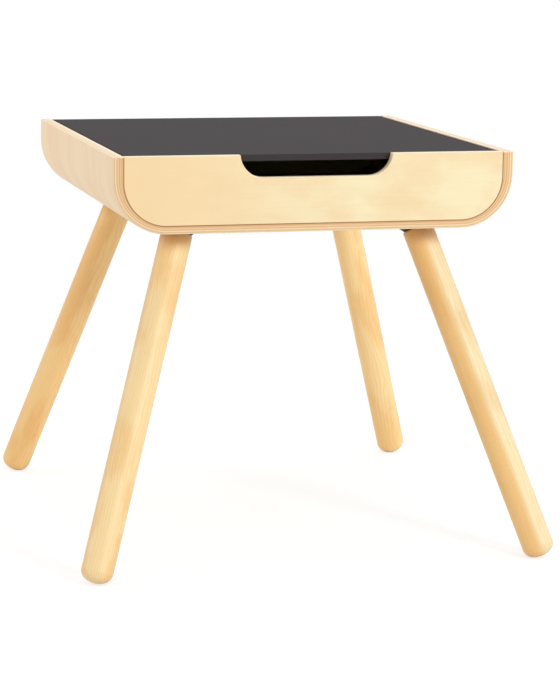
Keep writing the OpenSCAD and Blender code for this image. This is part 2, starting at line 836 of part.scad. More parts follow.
leg_bolt(RIGHT, BACK);  // leg_bolt_back_right
leg_mount_screws();
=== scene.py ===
"""Looks of a children's table with storage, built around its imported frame.

A storage box of bent plywood with a dark lid stands on four splayed round legs. The shell, the
panels, the dowels, the lid, the hinge pins, the sleeves and the bolts keep their frame meshes and
get solid, procedural finishes: the plies, glue lines and grain run through the wood, so every
edge shows what is cut there. The hinge leaves, the strips and the leg mounts are copies with
rounded edges. The legs, the screws and the felt pads are modelled anew. Everything is in metres,
in the frame's axes: +X to the right, +Y to the back and +Z up, with the origin on the floor under
the table.
"""

import logging
import math
from dataclasses import dataclass
from enum import Enum
from typing import ClassVar, Sequence, Union

import bmesh
import bpy
from mathutils import Matrix, Vector


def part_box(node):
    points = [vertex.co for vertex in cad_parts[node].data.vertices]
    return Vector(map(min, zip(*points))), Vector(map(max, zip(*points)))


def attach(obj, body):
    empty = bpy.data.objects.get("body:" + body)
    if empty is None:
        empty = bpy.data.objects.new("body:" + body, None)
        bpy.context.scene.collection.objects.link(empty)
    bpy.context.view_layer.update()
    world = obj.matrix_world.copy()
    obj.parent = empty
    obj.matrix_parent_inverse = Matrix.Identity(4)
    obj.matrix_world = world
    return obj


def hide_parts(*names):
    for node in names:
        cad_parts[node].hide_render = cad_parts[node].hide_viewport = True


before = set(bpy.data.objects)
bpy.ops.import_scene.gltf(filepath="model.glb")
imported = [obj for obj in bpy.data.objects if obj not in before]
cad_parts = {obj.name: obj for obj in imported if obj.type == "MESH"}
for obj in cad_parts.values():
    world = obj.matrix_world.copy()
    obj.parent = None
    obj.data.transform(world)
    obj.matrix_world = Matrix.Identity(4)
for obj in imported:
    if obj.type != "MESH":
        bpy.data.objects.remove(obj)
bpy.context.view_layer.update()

LOG = logging.getLogger("table")

Colour = tuple[float, float, float, float]
Socket = bpy.types.NodeSocket
Value = Union[float, Socket]
Point = tuple[Value, Value, Value]
Triple = tuple[float, float, float]

# A grain's waves along and across it, or a band: where a soft change starts and ends,
# as shares of the size that it follows.
Pair = tuple[float, float]

TABLE_BODY = "table"
LID_BODY = "lid"
MM = 0.001
UP = Vector((0, 0, 1))

# Corners this near are joined, faces this flat are one, and creases this sharp show.
WELD = MM * MM
FLAT = math.radians(0.05)
CREASE = math.radians(35)

# The decimals of a metre by which solids are put in order.
PLACES = 4

# The Mix node's inputs for the share and the two colours, and its mixed colour.
MIX_INPUTS = (0, 6, 7)
MIX_RESULT = 2


class Side(Enum):
    """A side of the table, as the sign of X."""

    LEFT = -1
    RIGHT = 1


class End(Enum):
    """An end of the table, as the sign of Y."""

    FRONT = -1
    BACK = 1


class Head(Enum):
    """The shape of a screw's head."""

    ROUND = "round"
    COUNTERSUNK = "countersunk"


class Facing(Enum):
    """Where the heads of a set of screws face."""

    MIDDLE = "middle"
    UP = "up"
    DOWN = "down"


def paint(red: float, green: float, blue: float) -> Colour:
    """Turns a colour as it shows on a screen into the linear one that a shader takes.

    Args:
        red: Red, from 0 to 255.
        green: Green, from 0 to 255.
        blue: Blue, from 0 to 255.

    Returns:
        The linear colour, opaque.
    """

    def linear(level: float) -> float:
        """Undoes the screen's gamma for one channel."""
        share = level / 255
        return share / 12.92 if share <= 0.04045 else ((share + 0.055) / 1.055) ** 2.4

    return linear(red), linear(green), linear(blue), 1.0


def grey(level: float) -> Colour:
    """Gives a grey as the linear colour that a shader takes."""
    return level, level, level, 1.0


def tinted(colour: Colour, shares: Triple) -> Colour:
    """Scales a colour's red, green and blue, each by its own share."""
    red, green, blue = (level * share for level, share in zip(colour, shares))
    return red, green, blue, 1.0


def band(base: float, unit: float, shares: Pair) -> Pair:
    """Places the ends of a soft change, each its own share of a unit away from a base."""
    return base + shares[0] * unit, base + shares[1] * unit


class Graph:
    """One node tree, written as sums and textures instead of single nodes."""

    upright_z: float = 0.5
    level_z: float = 0.95

    def __init__(self, owner: Union[bpy.types.Material, bpy.types.World]) -> None:
        """Empties the owner's node tree.

        Args:
            owner: The material or world whose tree is built.
        """
        owner.use_nodes = True
        self.owner = owner
        self.tree = owner.node_tree
        self.tree.nodes.clear()

    @classmethod
    def of_material(cls, name: str) -> "Graph":
        """Starts a new material."""
        return cls(bpy.data.materials.new(name))

    def feed(self, socket: Socket, value: object) -> None:
        """Links a socket to an input, or sets a constant on it.

        Args:
            socket: The input.
            value: The socket that is linked, or the constant.
        """
        if isinstance(value, bpy.types.NodeSocket):
            self.tree.links.new(value, socket)
        else:
            socket.default_value = value

    def node(self, kind: str, **inputs: object) -> bpy.types.Node:
        """Adds a node and feeds its inputs.

        Args:
            kind: The node's type, without the ShaderNode that each of them starts with.
            **inputs: What each input gets, by its name, with _ for a space.

        Returns:
            The node.
        """
        node = self.tree.nodes.new("ShaderNode" + kind)
        for name, value in inputs.items():
            self.feed(node.inputs[name.replace("_", " ")], value)
        return node

    def place(self) -> Point:
        """Gives X, Y and Z of the shaded point, in metres."""
        return self.split(self.node("TexCoord").outputs["Object"])

    def facing_up(self) -> Socket:
        """Gives 1 where the surface faces up and 0 where it stands upright."""
        normal = self.node("NewGeometry").outputs["Normal"]
        return self.step(self.split(normal)[2], self.upright_z, self.level_z)

    def background_rays(self) -> Socket:
        """Gives 1 for rays that see the background: camera, glossy and transmission rays.

        Returns:
            The share, 0 for all other rays.
        """
        rays = self.node("LightPath").outputs
        direct = self.most(rays["Is Camera Ray"], rays["Is Glossy Ray"])
        return self.most(direct, rays["Is Transmission Ray"])

    def split(self, vector: Socket) -> Point:
        """Splits a vector into its three parts."""
        parts = self.node("SeparateXYZ", Vector=vector).outputs
        return parts[0], parts[1], parts[2]

    def scaled(self, point: Point, waves: Triple) -> Socket:
        """Scales a point by its own number of waves a metre in each direction."""
        x, y, z = (self.times(part, count) for part, count in zip(point, waves))
        return self.node("CombineXYZ", X=x, Y=y, Z=z).outputs[0]

    def mapped(self, turn: Matrix, shift: Vector) -> Point:
        """Gives the shaded point in another frame.

        Args:
            turn: The rotation from the table's frame into the other.
            shift: What is added after the turn.

        Returns:
            X, Y and Z of the point in the other frame.
        """
        node = self.node(
            "Mapping",
            Vector=self.node("TexCoord").outputs["Object"],
            Rotation=turn.to_euler("XYZ"),
            Location=shift,
        )
        return self.split(node.outputs[0])

    def math(self, operation: str, a: Value, b: Value = 0.0) -> Socket:
        """Applies one operation of the Math node to two values.

        Args:
            operation: The operation's name, such as ADD.
            a: The first value.
            b: The second value, where the operation takes one.

        Returns:
            The result.
        """
        node = self.node("Math")
        node.operation = operation
        self.feed(node.inputs[0], a)
        self.feed(node.inputs[1], b)
        return node.outputs[0]

    def add(self, a: Value, b: Value) -> Socket:
        """Adds two values."""
        return self.math("ADD", a, b)

    def minus(self, a: Value, b: Value) -> Socket:
        """Takes the second value from the first."""
        return self.math("SUBTRACT", a, b)

    def times(self, a: Value, b: Value) -> Socket:
        """Multiplies two values."""
        return self.math("MULTIPLY", a, b)

    def least(self, a: Value, b: Value) -> Socket:
        """Gives the smaller of two values."""
        return self.math("MINIMUM", a, b)

    def most(self, a: Value, b: Value) -> Socket:
        """Gives the larger of two values."""
        return self.math("MAXIMUM", a, b)

    def size(self, value: Value) -> Socket:
        """Gives a value without its sign."""
        return self.math("ABSOLUTE", value)

    def distance(self, a: Value, b: Value) -> Socket:
        """Gives the length of a line that runs a one way and b square to it."""
        squares = self.add(self.math("POWER", a, 2.0), self.math("POWER", b, 2.0))
        return self.math("SQRT", squares)

    def spread(self, value: Socket, middle: float, width: float) -> Socket:
        """Stretches a value from 0 to 1 over a width round a middle."""
        return self.add(middle - width / 2, self.times(value, width))

    def wander(self, noise: Socket, width: float) -> Socket:
        """Turns noise round 0.5 into a sway round 0 of about a width."""
        return self.times(self.minus(noise, 0.5), width)

    def step(self, value: Value, start: float, end: float) -> Socket:
        """Rises smoothly from 0 at start to 1 at end, or falls where end is the smaller.

        Args:
            value: What is measured.
            start: The value at which the result is 0.
            end: The value at which the result is 1.

        Returns:
            The share, from 0 to 1.
        """
        rising = start < end
        node = self.node(
            "MapRange",
            Value=value,
            From_Min=min(start, end),
            From_Max=max(start, end),
            To_Min=0.0 if rising else 1.0,
            To_Max=1.0 if rising else 0.0,
        )
        node.interpolation_type = "SMOOTHSTEP"
        return node.outputs[0]

    def noise(self, vector: Socket, detail: float = 3.0, rough: float = 0.5) -> Socket:
        """Gives fractal noise round 0.5.

        Args:
            vector: The point, already scaled.
            detail: How many finer layers there are.
            rough: How strong each finer layer is next to the one before.

        Returns:
            The noise.
        """
        node = self.node("TexNoise", Vector=vector, Scale=1.0, Detail=detail, Roughness=rough)
        return node.outputs[0]

    def cells(self, vector: Socket) -> Socket:
        """Gives the distance from a scaled point to the nearest of scattered points."""
        return self.node("TexVoronoi", Vector=vector, Scale=1.0).outputs["Distance"]

    def blend(self, share: Value, a: object, b: object, mode: str = "MIX") -> Socket:
        """Mixes two colours.

        Args:
            share: How much of the second colour is taken.
            a: The first colour.
            b: The second colour.
            mode: How they are mixed, such as MIX or MULTIPLY.

        Returns:
            The mixed colour.
        """
        node = self.node("Mix")
        node.data_type = "RGBA"
        node.blend_type = mode
        for place, value in zip(MIX_INPUTS, (share, a, b)):
            self.feed(node.inputs[place], value)
        return node.outputs[MIX_RESULT]

    def bump(self, height: Socket, depth: float) -> Socket:
        """Turns a height from 0 to 1 into a tilted normal, with 1 standing for a depth."""
        return self.node("Bump", Height=height, Distance=depth, Strength=1.0).outputs[0]

    def surface(
        self, colour: Socket, roughness: Value, normal: Socket, **constants: float
    ) -> bpy.types.Material:
        """Ends the material with one Principled shader.

        Args:
            colour: The base colour.
            roughness: The roughness.
            normal: The tilted normal.
            **constants: More inputs by name, with _ for a space, set on the shader itself.

        Returns:
            The finished material.
        """
        shader = self.node(
            "BsdfPrincipled", Base_Color=colour, Roughness=roughness, Normal=normal, **constants
        )
        self.node("OutputMaterial", Surface=shader.outputs[0])
        return self.owner

    def fade(self, share: Socket, a: Socket, b: Socket) -> Socket:
        """Mixes two shaders.

        Args:
            share: How much of the second shader is taken.
            a: The first shader.
            b: The second shader.

        Returns:
            The mixed shader.
        """
        node = self.node("MixShader")
        for place, value in enumerate((share, a, b)):
            self.feed(node.inputs[place], value)
        return node.outputs[0]


@dataclass(frozen=True)
class TubOutline:
    """The rounded outline that the shell and the end panels share, seen from the front."""

    half_width: float
    foot_z: float
    bend: float

    def from_bend(self, graph: Graph, x: Socket, z: Socket) -> tuple[Socket, Socket]:
        """Measures from the middle of the nearer bend.

        Args:
            graph: The material that needs it.
            x: The point's X.
            z: The point's Z.

        Returns:
            How far the point lies outwards and downwards.
        """
        across = graph.minus(graph.size(x), self.half_width - self.bend)
        down = graph.minus(self.foot_z + self.bend, z)
        return across, down

    def outside(self, graph: Graph, x: Socket, z: Socket) -> Socket:
        """Measures how far a point lies outside the outline.

        Args:
            graph: The material that needs it.
            x: The point's X.
            z: The point's Z.

        Returns:
            The distance in metres, negative inside.
        """
        across, down = self.from_bend(graph, x, z)
        corner = graph.distance(graph.most(across, 0.0), graph.most(down, 0.0))
        flat = graph.least(graph.most(across, down), 0.0)
        return graph.minus(graph.add(corner, flat), self.bend)

    def run(self, graph: Graph, x: Socket, z: Socket) -> Socket:
        """Measures along the outline from the middle of the foot, up either side.

        Args:
            graph: The material that needs it.
            x: The point's X.
            z: The point's Z.

        Returns:
            The run in metres, negative on the left.
        """
        across, down = self.from_bend(graph, x, z)
        turn = graph.math("ARCTAN2", graph.most(across, 0.0), graph.most(down, WELD))
        flat = graph.least(graph.size(x), self.half_width - self.bend)
        rise = graph.most(graph.times(down, -1.0), 0.0)
        whole = graph.add(graph.add(flat, rise), graph.times(turn, self.bend))
        return graph.times(whole, graph.math("SIGN", x))


@dataclass(frozen=True)
class Grain:
    """A wood's figure: how many waves a metre each layer has, along and across the grain."""

    cloud: Pair = (5.0, 21.0)
    line: Pair = (7.0, 330.0)
    fibre: Pair = (36.0, 1900.0)
    fleck: Pair = (190.0, 1500.0)
    fleck_band: Pair = (0.3, 0.08)
    drift: float = 0.012

    def sample(self, graph: Graph, along: Value, across: Value, deep: Value) -> "Figure":
        """Draws the figure at a point.

        Args:
            graph: The material that needs it.
            along: The point's place along the grain, in metres.
            across: Its place across the grain.
            deep: Its place in the third direction.

        Returns:
            The figure's layers, as shares.
        """

        def layer(sideways: Value, waves: Pair) -> Socket:
            """Scales the point for one layer."""
            return graph.scaled((along, sideways, deep), (waves[0], waves[1], waves[1]))

        cloud = graph.noise(layer(across, self.cloud))
        drifted = graph.add(across, graph.wander(cloud, self.drift))
        flecks = graph.cells(layer(drifted, self.fleck))
        return Figure(
            cloud=cloud,
            lines=graph.noise(layer(drifted, self.line), detail=4.0, rough=0.6),
            fibres=graph.noise(layer(drifted, self.fibre), detail=2.0),
            flecks=graph.step(flecks, *self.fleck_band),
        )


@dataclass(frozen=True)
class Figure:
    """The layers of a wood's figure at the shaded point."""

    cloud: Socket
    lines: Socket
    fibres: Socket
    flecks: Socket


@dataclass(frozen=True)
class WoodTones:
    """The colours of a lacquered wood, and how strongly its lines and flecks show."""

    pale: Colour
    warm: Colour
    line: Colour
    fleck: Colour
    line_share: float = 0.3
    fibre_part: float = 0.5
    fleck_share: float = 0.25
    cloud_band: Pair = (0.34, 0.66)
    line_band: Pair = (0.42, 0.78)
    fibre_band: Pair = (0.5, 0.8)

    def colour(self, graph: Graph, figure: Figure) -> Socket:
        """Colours the wood by its figure.

        Args:
            graph: The material that needs it.
            figure: The figure's layers.

        Returns:
            The colour.
        """
        base = graph.blend(graph.step(figure.cloud, *self.cloud_band), self.pale, self.warm)
        lines = graph.times(graph.step(figure.lines, *self.line_band), self.line_share)
        lined = graph.blend(lines, base, self.line)
        fibre_share = self.fibre_part * self.line_share
        fibres = graph.times(graph.step(figure.fibres, *self.fibre_band), fibre_share)
        fibred = graph.blend(fibres, lined, self.line)
        return graph.blend(graph.times(figure.flecks, self.fleck_share), fibred, self.fleck)


@dataclass(frozen=True)
class Lacquer:
    """A clear coat over wood: its gloss, and how much of the grain can be felt through it."""

    roughness: float = 0.5
    spread: float = 0.1
    pore_depth: float = 0.00006
    line_relief: float = 0.5
    fibre_relief: float = 0.5
    fleck_relief: float = 0.4
    specular: float = 0.35

    def finish(self, graph: Graph, colour: Socket, figure: Figure) -> bpy.types.Material:
        """Ends a wooden material.

        Args:
            graph: The material.
            colour: The wood's colour.
            figure: The figure's layers.

        Returns:
            The finished material.
        """
        fibres = graph.times(figure.fibres, self.fibre_relief)
        pores = graph.minus(fibres, graph.times(figure.flecks, self.fleck_relief))
        height = graph.add(graph.times(figure.lines, self.line_relief), pores)
        return graph.surface(
            colour,
            graph.spread(figure.lines, self.roughness, self.spread),
            graph.bump(height, self.pore_depth),
            Specular_IOR_Level=self.specular,
        )


@dataclass(frozen=True)
class Plies:
    """The layers of a sheet of plywood, and what their cut edges look like."""

    thickness: float
    count: int
    cross: Colour
    glue: Colour
    cross_share: float = 0.6
    glue_share: float = 0.35
    glue_width: float = 0.13
    figure_shift: float = 0.37
    face_end: float = 0.5
    face_blur: float = 0.1
    uneven: Pair = (0.7, 0.6)
    fine_waves: Triple = (900.0, 900.0, 900.0)

    def layer(self, graph: Graph, depth: Socket) -> Socket:
        """Numbers the ply at a depth below the outer face, from 0."""
        whole = graph.math("FLOOR", graph.times(depth, self.count / self.thickness))
        return graph.least(graph.most(whole, 0.0), self.count - 1.0)

    def shift(self, graph: Graph, depth: Socket) -> Socket:
        """Moves the figure from ply to ply, as each is cut from another place."""
        return graph.times(self.layer(graph, depth), self.figure_shift)

    def glue_lines(self, graph: Graph, depth: Socket) -> Socket:
        """Finds the glue between the plies.

        Args:
            graph: The material that needs it.
            depth: The point's depth below the sheet's outer face.

        Returns:
            The share of the glue's colour, 0 at both faces of the sheet.
        """
        scaled = graph.times(depth, self.count / self.thickness)
        part = graph.math("FRACT", scaled)
        near = graph.least(part, graph.minus(1.0, part))
        start, full = self.face_end - self.face_blur, self.face_end + self.face_blur
        inner = graph.times(
            graph.step(scaled, start, full),
            graph.step(scaled, self.count - start, self.count - full),
        )
        glue = graph.times(graph.step(near, self.glue_width, 0.0), inner)
        return graph.times(glue, self.glue_share)

    def colour(self, graph: Graph, point: Point, depth: Socket, wood: Socket) -> Socket:
        """Colours a point by the ply that it lies in.

        Args:
            graph: The material that needs it.
            point: The point, where fine noise makes the cut edges uneven.
            depth: Its depth below the sheet's outer face.
            wood: The colour of a ply that is cut along its grain.

        Returns:
            The colour.
        """
        fine = graph.noise(graph.scaled(point, self.fine_waves), detail=2.0)
        uneven = graph.add(self.uneven[0], graph.times(fine, self.uneven[1]))
        crossed = graph.math("MODULO", self.layer(graph, depth), 2.0)
        share = graph.times(graph.times(crossed, self.cross_share), uneven)
        plied = graph.blend(share, wood, self.cross)
        return graph.blend(self.glue_lines(graph, depth), plied, self.glue)


@dataclass(frozen=True)
class TableSizes:
    """The sizes of the table that the finishes follow, in metres."""

    width: float = 0.5
    depth: float = 0.5
    height: float = 0.502
    box_height: float = 0.093
    ply: float = 0.0135
    bend: float = 0.066
    let_in: float = 0.0035
    panel: float = 0.011
    notch: float = 0.19
    ease: float = 0.0015
    leg_radius: float = 0.0195
    leg_inset_side: float = 0.0986
    leg_inset_end: float = 0.082
    leg_tilt_side: float = math.radians(17.9)
    leg_tilt_end: float = math.radians(18.7)

    @property
    def box_z(self) -> float:
        """The level of the box's underside."""
        return self.height - self.box_height

    @property
    def shell_outline(self) -> TubOutline:
        """The outside of the bent shell."""
        return TubOutline(self.width / 2, self.box_z, self.bend)

    @property
    def panel_outline(self) -> TubOutline:
        """The seam between an end panel and the shell."""
        return TubOutline(
            self.width / 2 - self.ply, self.box_z + self.ply - self.let_in, self.bend - self.ply
        )

    def leg_axis(self, side: Side, end: End) -> Vector:
        """Gives the direction in which a leg rises.

        Args:
            side: The leg's side.
            end: The leg's end.

        Returns:
            The direction, of length 1.
        """
        lean_x = -side.value * math.tan(self.leg_tilt_side)
        lean_y = -end.value * math.tan(self.leg_tilt_end)
        return Vector((lean_x, lean_y, 1.0)).normalized()

    def leg_root(self, side: Side, end: End) -> Vector:
        """Gives the point where a leg's axis meets the box's underside.

        Args:
            side: The leg's side.
            end: The leg's end.

        Returns:
            The point.
        """
        x = side.value * (self.width / 2 - self.leg_inset_side)
        y = end.value * (self.depth / 2 - self.leg_inset_end)
        return Vector((x, y, self.box_z))


@dataclass(frozen=True)
class BentPlyFinish:
    """Bent birch plywood, with its face grain running round the bends."""

    sizes: TableSizes
    tones: WoodTones
    edge: Colour
    inner_edge: Colour
    plies: Plies
    # The dark line at the panels: dust and painted shade in the joint.
    seam: Colour
    # Painted highlight on the tops of the walls, for their inner and outer halves.
    rim: Colour
    outer_top_highlight: Colour
    grain: Grain = Grain()
    lacquer: Lacquer = Lacquer()
    seam_width: float = 0.0016
    edge_share: float = 0.8
    rim_share: float = 0.75
    end_band: Pair = (0.8, 0.1)
    inner_band: Pair = (0.25, 0.6)
    # Where the painted top highlight starts and ends, down from the top and in from the outside.
    top_highlight_band: Pair = (1.0, 0.3)
    top_highlight_inward_band: Pair = (0.5, 0.85)

    def end_cut(self, graph: Graph, y: Socket, depth: Socket, wood: Socket) -> Socket:
        """Colours the edges that face the front and the back.

        Args:
            graph: The material.
            y: The point's Y.
            depth: Its depth below the outer face.
            wood: The colour of the wood elsewhere.

        Returns:
            The colour.
        """
        sizes = self.sizes
        inner = graph.step(depth, *band(0.0, sizes.ply, self.inner_band))
        edge = graph.blend(inner, self.edge, self.inner_edge)
        end = graph.step(graph.size(y), *band(sizes.depth / 2, -sizes.ease, self.end_band))
        return graph.blend(graph.times(end, self.edge_share), wood, edge)

    def seam_line(self, graph: Graph, point: Point) -> Socket:
        """Finds the dark line along an end panel: dust and painted shade in the joint.

        Args:
            graph: The material.
            point: The shaded point.

        Returns:
            The share of the line.
        """
        x, y, z = point
        inner_end = self.sizes.depth / 2 - self.sizes.panel
        at_end = graph.step(graph.size(y), inner_end, inner_end + MM)
        beyond = self.sizes.panel_outline.outside(graph, x, z)
        return graph.times(graph.step(beyond, self.seam_width, 0.0), at_end)

    def painted_top_highlight(self, graph: Graph, z: Socket, depth: Socket, wood: Socket) -> Socket:
        """Paints a highlight on the tops of the walls, brightest towards their inner edge.

        Args:
            graph: The material.
            z: The point's Z.
            depth: Its depth below the outer face.
            wood: The colour of the wood elsewhere.

        Returns:
            The colour.
        """
        sizes = self.sizes
        top = graph.step(z, *band(sizes.height, -sizes.ease, self.top_highlight_band))
        inwards = graph.step(depth, *band(0.0, sizes.ply, self.top_highlight_inward_band))
        rim = graph.blend(inwards, self.outer_top_highlight, self.rim)
        return graph.blend(graph.times(top, self.rim_share), wood, rim)

    def material(self, name: str) -> bpy.types.Material:
        """Builds the material of the shell.

        Args:
            name: The material's name.

        Returns:
            The material.
        """
        graph = Graph.of_material(name)
        x, y, z = graph.place()
        outline = self.sizes.shell_outline
        depth = graph.times(outline.outside(graph, x, z), -1.0)
        run = outline.run(graph, x, z)
        figure = self.grain.sample(graph, run, y, self.plies.shift(graph, depth))
        wood = self.end_cut(graph, y, depth, self.tones.colour(graph, figure))
        plied = self.plies.colour(graph, (x, y, z), depth, wood)
        # The dark joint line: dust and painted shade.
        joined = graph.blend(self.seam_line(graph, (x, y, z)), plied, self.seam, "MULTIPLY")
        return self.lacquer.finish(graph, self.painted_top_highlight(graph, z, depth, joined), figure)


@dataclass(frozen=True)
class PanelPlyFinish:
    """A flat birch plywood panel, face grain across; painted shade on its left, painted highlight
    on top.
    """

    sizes: TableSizes
    tones: WoodTones
    plies: Plies
    seam: Colour
    # Painted highlight on the faces that face up.
    rim: Colour
    # Painted shade on the panel's left side.
    painted_left_shade: Colour
    end: End
    grain: Grain = Grain(cloud=(13.0, 24.0))
    lacquer: Lacquer = Lacquer()
    seam_width: float = 0.0008
    rim_share: float = 0.75
    painted_left_shade_share: float = 0.8
    painted_left_shade_band: Pair = (0.02, -0.24)
    painted_left_shade_wander: float = 0.3
    sheet_shift: float = 0.31

    def material(self, name: str) -> bpy.types.Material:
        """Builds the material of one end panel.

        Args:
            name: The material's name.

        Returns:
            The material.
        """
        graph = Graph.of_material(name)
        x, y, z = graph.place()
        way = self.end.value
        depth = graph.times(graph.minus(way * self.sizes.depth / 2, y), float(way))
        across = graph.add(z, self.sheet_shift * way)
        figure = self.grain.sample(graph, x, across, self.plies.shift(graph, depth))
        # Painted shade, growing towards the left, with an uneven edge.
        swayed = graph.add(x, graph.wander(figure.cloud, self.painted_left_shade_wander))
        painted_left_shade = graph.times(graph.step(swayed, *self.painted_left_shade_band), self.painted_left_shade_share)
        wood = graph.blend(painted_left_shade, self.tones.colour(graph, figure), self.painted_left_shade)
        plied = self.plies.colour(graph, (x, y, z), depth, wood)
        inside = graph.times(self.sizes.panel_outline.outside(graph, x, z), -1.0)
        # The dark joint line: dust and painted shade.
        seam = graph.step(inside, self.seam_width, 0.0)
        joined = graph.blend(seam, plied, self.seam, "MULTIPLY")
        # Painted highlight on the faces that face up.
        top = graph.times(graph.facing_up(), self.rim_share)
        return self.lacquer.finish(graph, graph.blend(top, joined, self.rim), figure)


@dataclass(frozen=True)
class TurnedWoodFinish:
    """A turned piece of solid wood, rings along it; painted paler on its lit side, darker
    opposite.
    """

    tones: WoodTones
    # The painted lit side: its colour and the warmer colour of its cloudy patches.
    lit_side: Colour
    warm_lit_side: Colour
    # The colour of the box's shadow painted on the leg's top.
    shaded_top: Colour
    foot: Vector
    axis: Vector
    turn: float
    top_z: float
    radius: float
    grain: Grain = Grain(cloud=(9.0, 26.0), line=(7.0, 260.0))
    lacquer: Lacquer = Lacquer(roughness=0.42, specular=0.4)
    wander: float = 0.02
    pith: float = 0.055
    ring_pitch: float = 0.0032
    ring_share: float = 0.2
    ring_rise: Pair = (0.45, 0.95)
    ring_fall: Pair = (1.0, 0.95)
    # Where the painted lit side starts, as shares of the radius, and where its warmer patches
    # lie.
    lit_side_band: Pair = (-1.0, -0.3)
    warm_lit_side_band: Pair = (0.46, 0.62)
    # How far down the painted shadow under the box reaches, and how strong it is.
    top_shadow_depth: float = 0.034
    top_shadow_share: float = 0.8
    # A darker foot: dirt and painted contact shade where it meets the floor.
    foot_dirt_and_shade: Colour = paint(96, 74, 52)
    foot_dark_height: float = 0.004
    foot_dark_share: float = 0.7

    def late_wood(self, graph: Graph, x: Socket, y: Socket) -> Socket:
        """Finds the dark side of each year's ring.

        Args:
            graph: The material.
            x: The point's place across the leg, away from the pith.
            y: Its place square to that.

        Returns:
            The share of the rings' colour.
        """
        away = graph.distance(graph.add(x, self.pith), y)
        part = graph.math("FRACT", graph.times(away, 1 / self.ring_pitch))
        late = graph.times(graph.step(part, *self.ring_rise), graph.step(part, *self.ring_fall))
        return graph.times(late, self.ring_share)

    def darkened_ends(self, graph: Graph, sway: Socket, wood: Socket) -> Socket:
        """Paints the box's shadow on the leg's top, and dirt and contact shade on its foot.

        Args:
            graph: The material.
            sway: What makes the painted shadow's edge uneven.
            wood: The colour of the wood elsewhere.

        Returns:
            The colour.
        """
        _, _, z = graph.place()
        # Painted shadow of the box on the leg's top.
        top_shadow = graph.step(graph.add(z, sway), self.top_z - self.top_shadow_depth, self.top_z)
        shaded_top = graph.blend(graph.times(top_shadow, self.top_shadow_share), wood, self.shaded_top)
        # Darkens the foot's lowest part: dirt and painted contact shade.
        foot_dirt_and_shade = graph.times(graph.step(z, self.foot_dark_height, 0.0), self.foot_dark_share)
        return graph.blend(foot_dirt_and_shade, shaded_top, self.foot_dirt_and_shade)

    def material(self, name: str) -> bpy.types.Material:
        """Builds the material of one leg.

        Args:
            name: The material's name.

        Returns:
            The material.
        """
        graph = Graph.of_material(name)
        to_axis = self.axis.rotation_difference(UP).to_matrix()
        turned = Matrix.Rotation(self.turn, 3, "Z") @ to_axis
        x, y, z = graph.mapped(turned, -(turned @ self.foot))
        figure = self.grain.sample(graph, z, x, y)
        sway = graph.wander(figure.cloud, self.wander)
        swayed = graph.add(x, sway)
        # Painted light: paler and yellower on the side that faces the lamps, darker on the other.
        outwards = graph.step(swayed, *band(0.0, self.radius, self.lit_side_band))
        warm = graph.step(figure.cloud, *self.warm_lit_side_band)
        lit_side = graph.blend(warm, self.lit_side, self.warm_lit_side)
        wood = graph.blend(outwards, self.tones.colour(graph, figure), lit_side)
        ringed = graph.blend(self.late_wood(graph, swayed, y), wood, self.tones.line)
        return self.lacquer.finish(graph, self.darkened_ends(graph, sway, ringed), figure)


@dataclass(frozen=True)
class StripWoodFinish:
    """A straight strip of solid wood, with its grain along the table's depth."""

    tones: WoodTones
    grain: Grain = Grain()
    lacquer: Lacquer = Lacquer()

    def material(self, name: str) -> bpy.types.Material:
        """Builds the material of the lid rests and the dowels.

        Args:
            name: The material's name.

        Returns:
            The material.
        """
        graph = Graph.of_material(name)
        x, y, z = graph.place()
        figure = self.grain.sample(graph, y, x, z)
        return self.lacquer.finish(graph, self.tones.colour(graph, figure), figure)


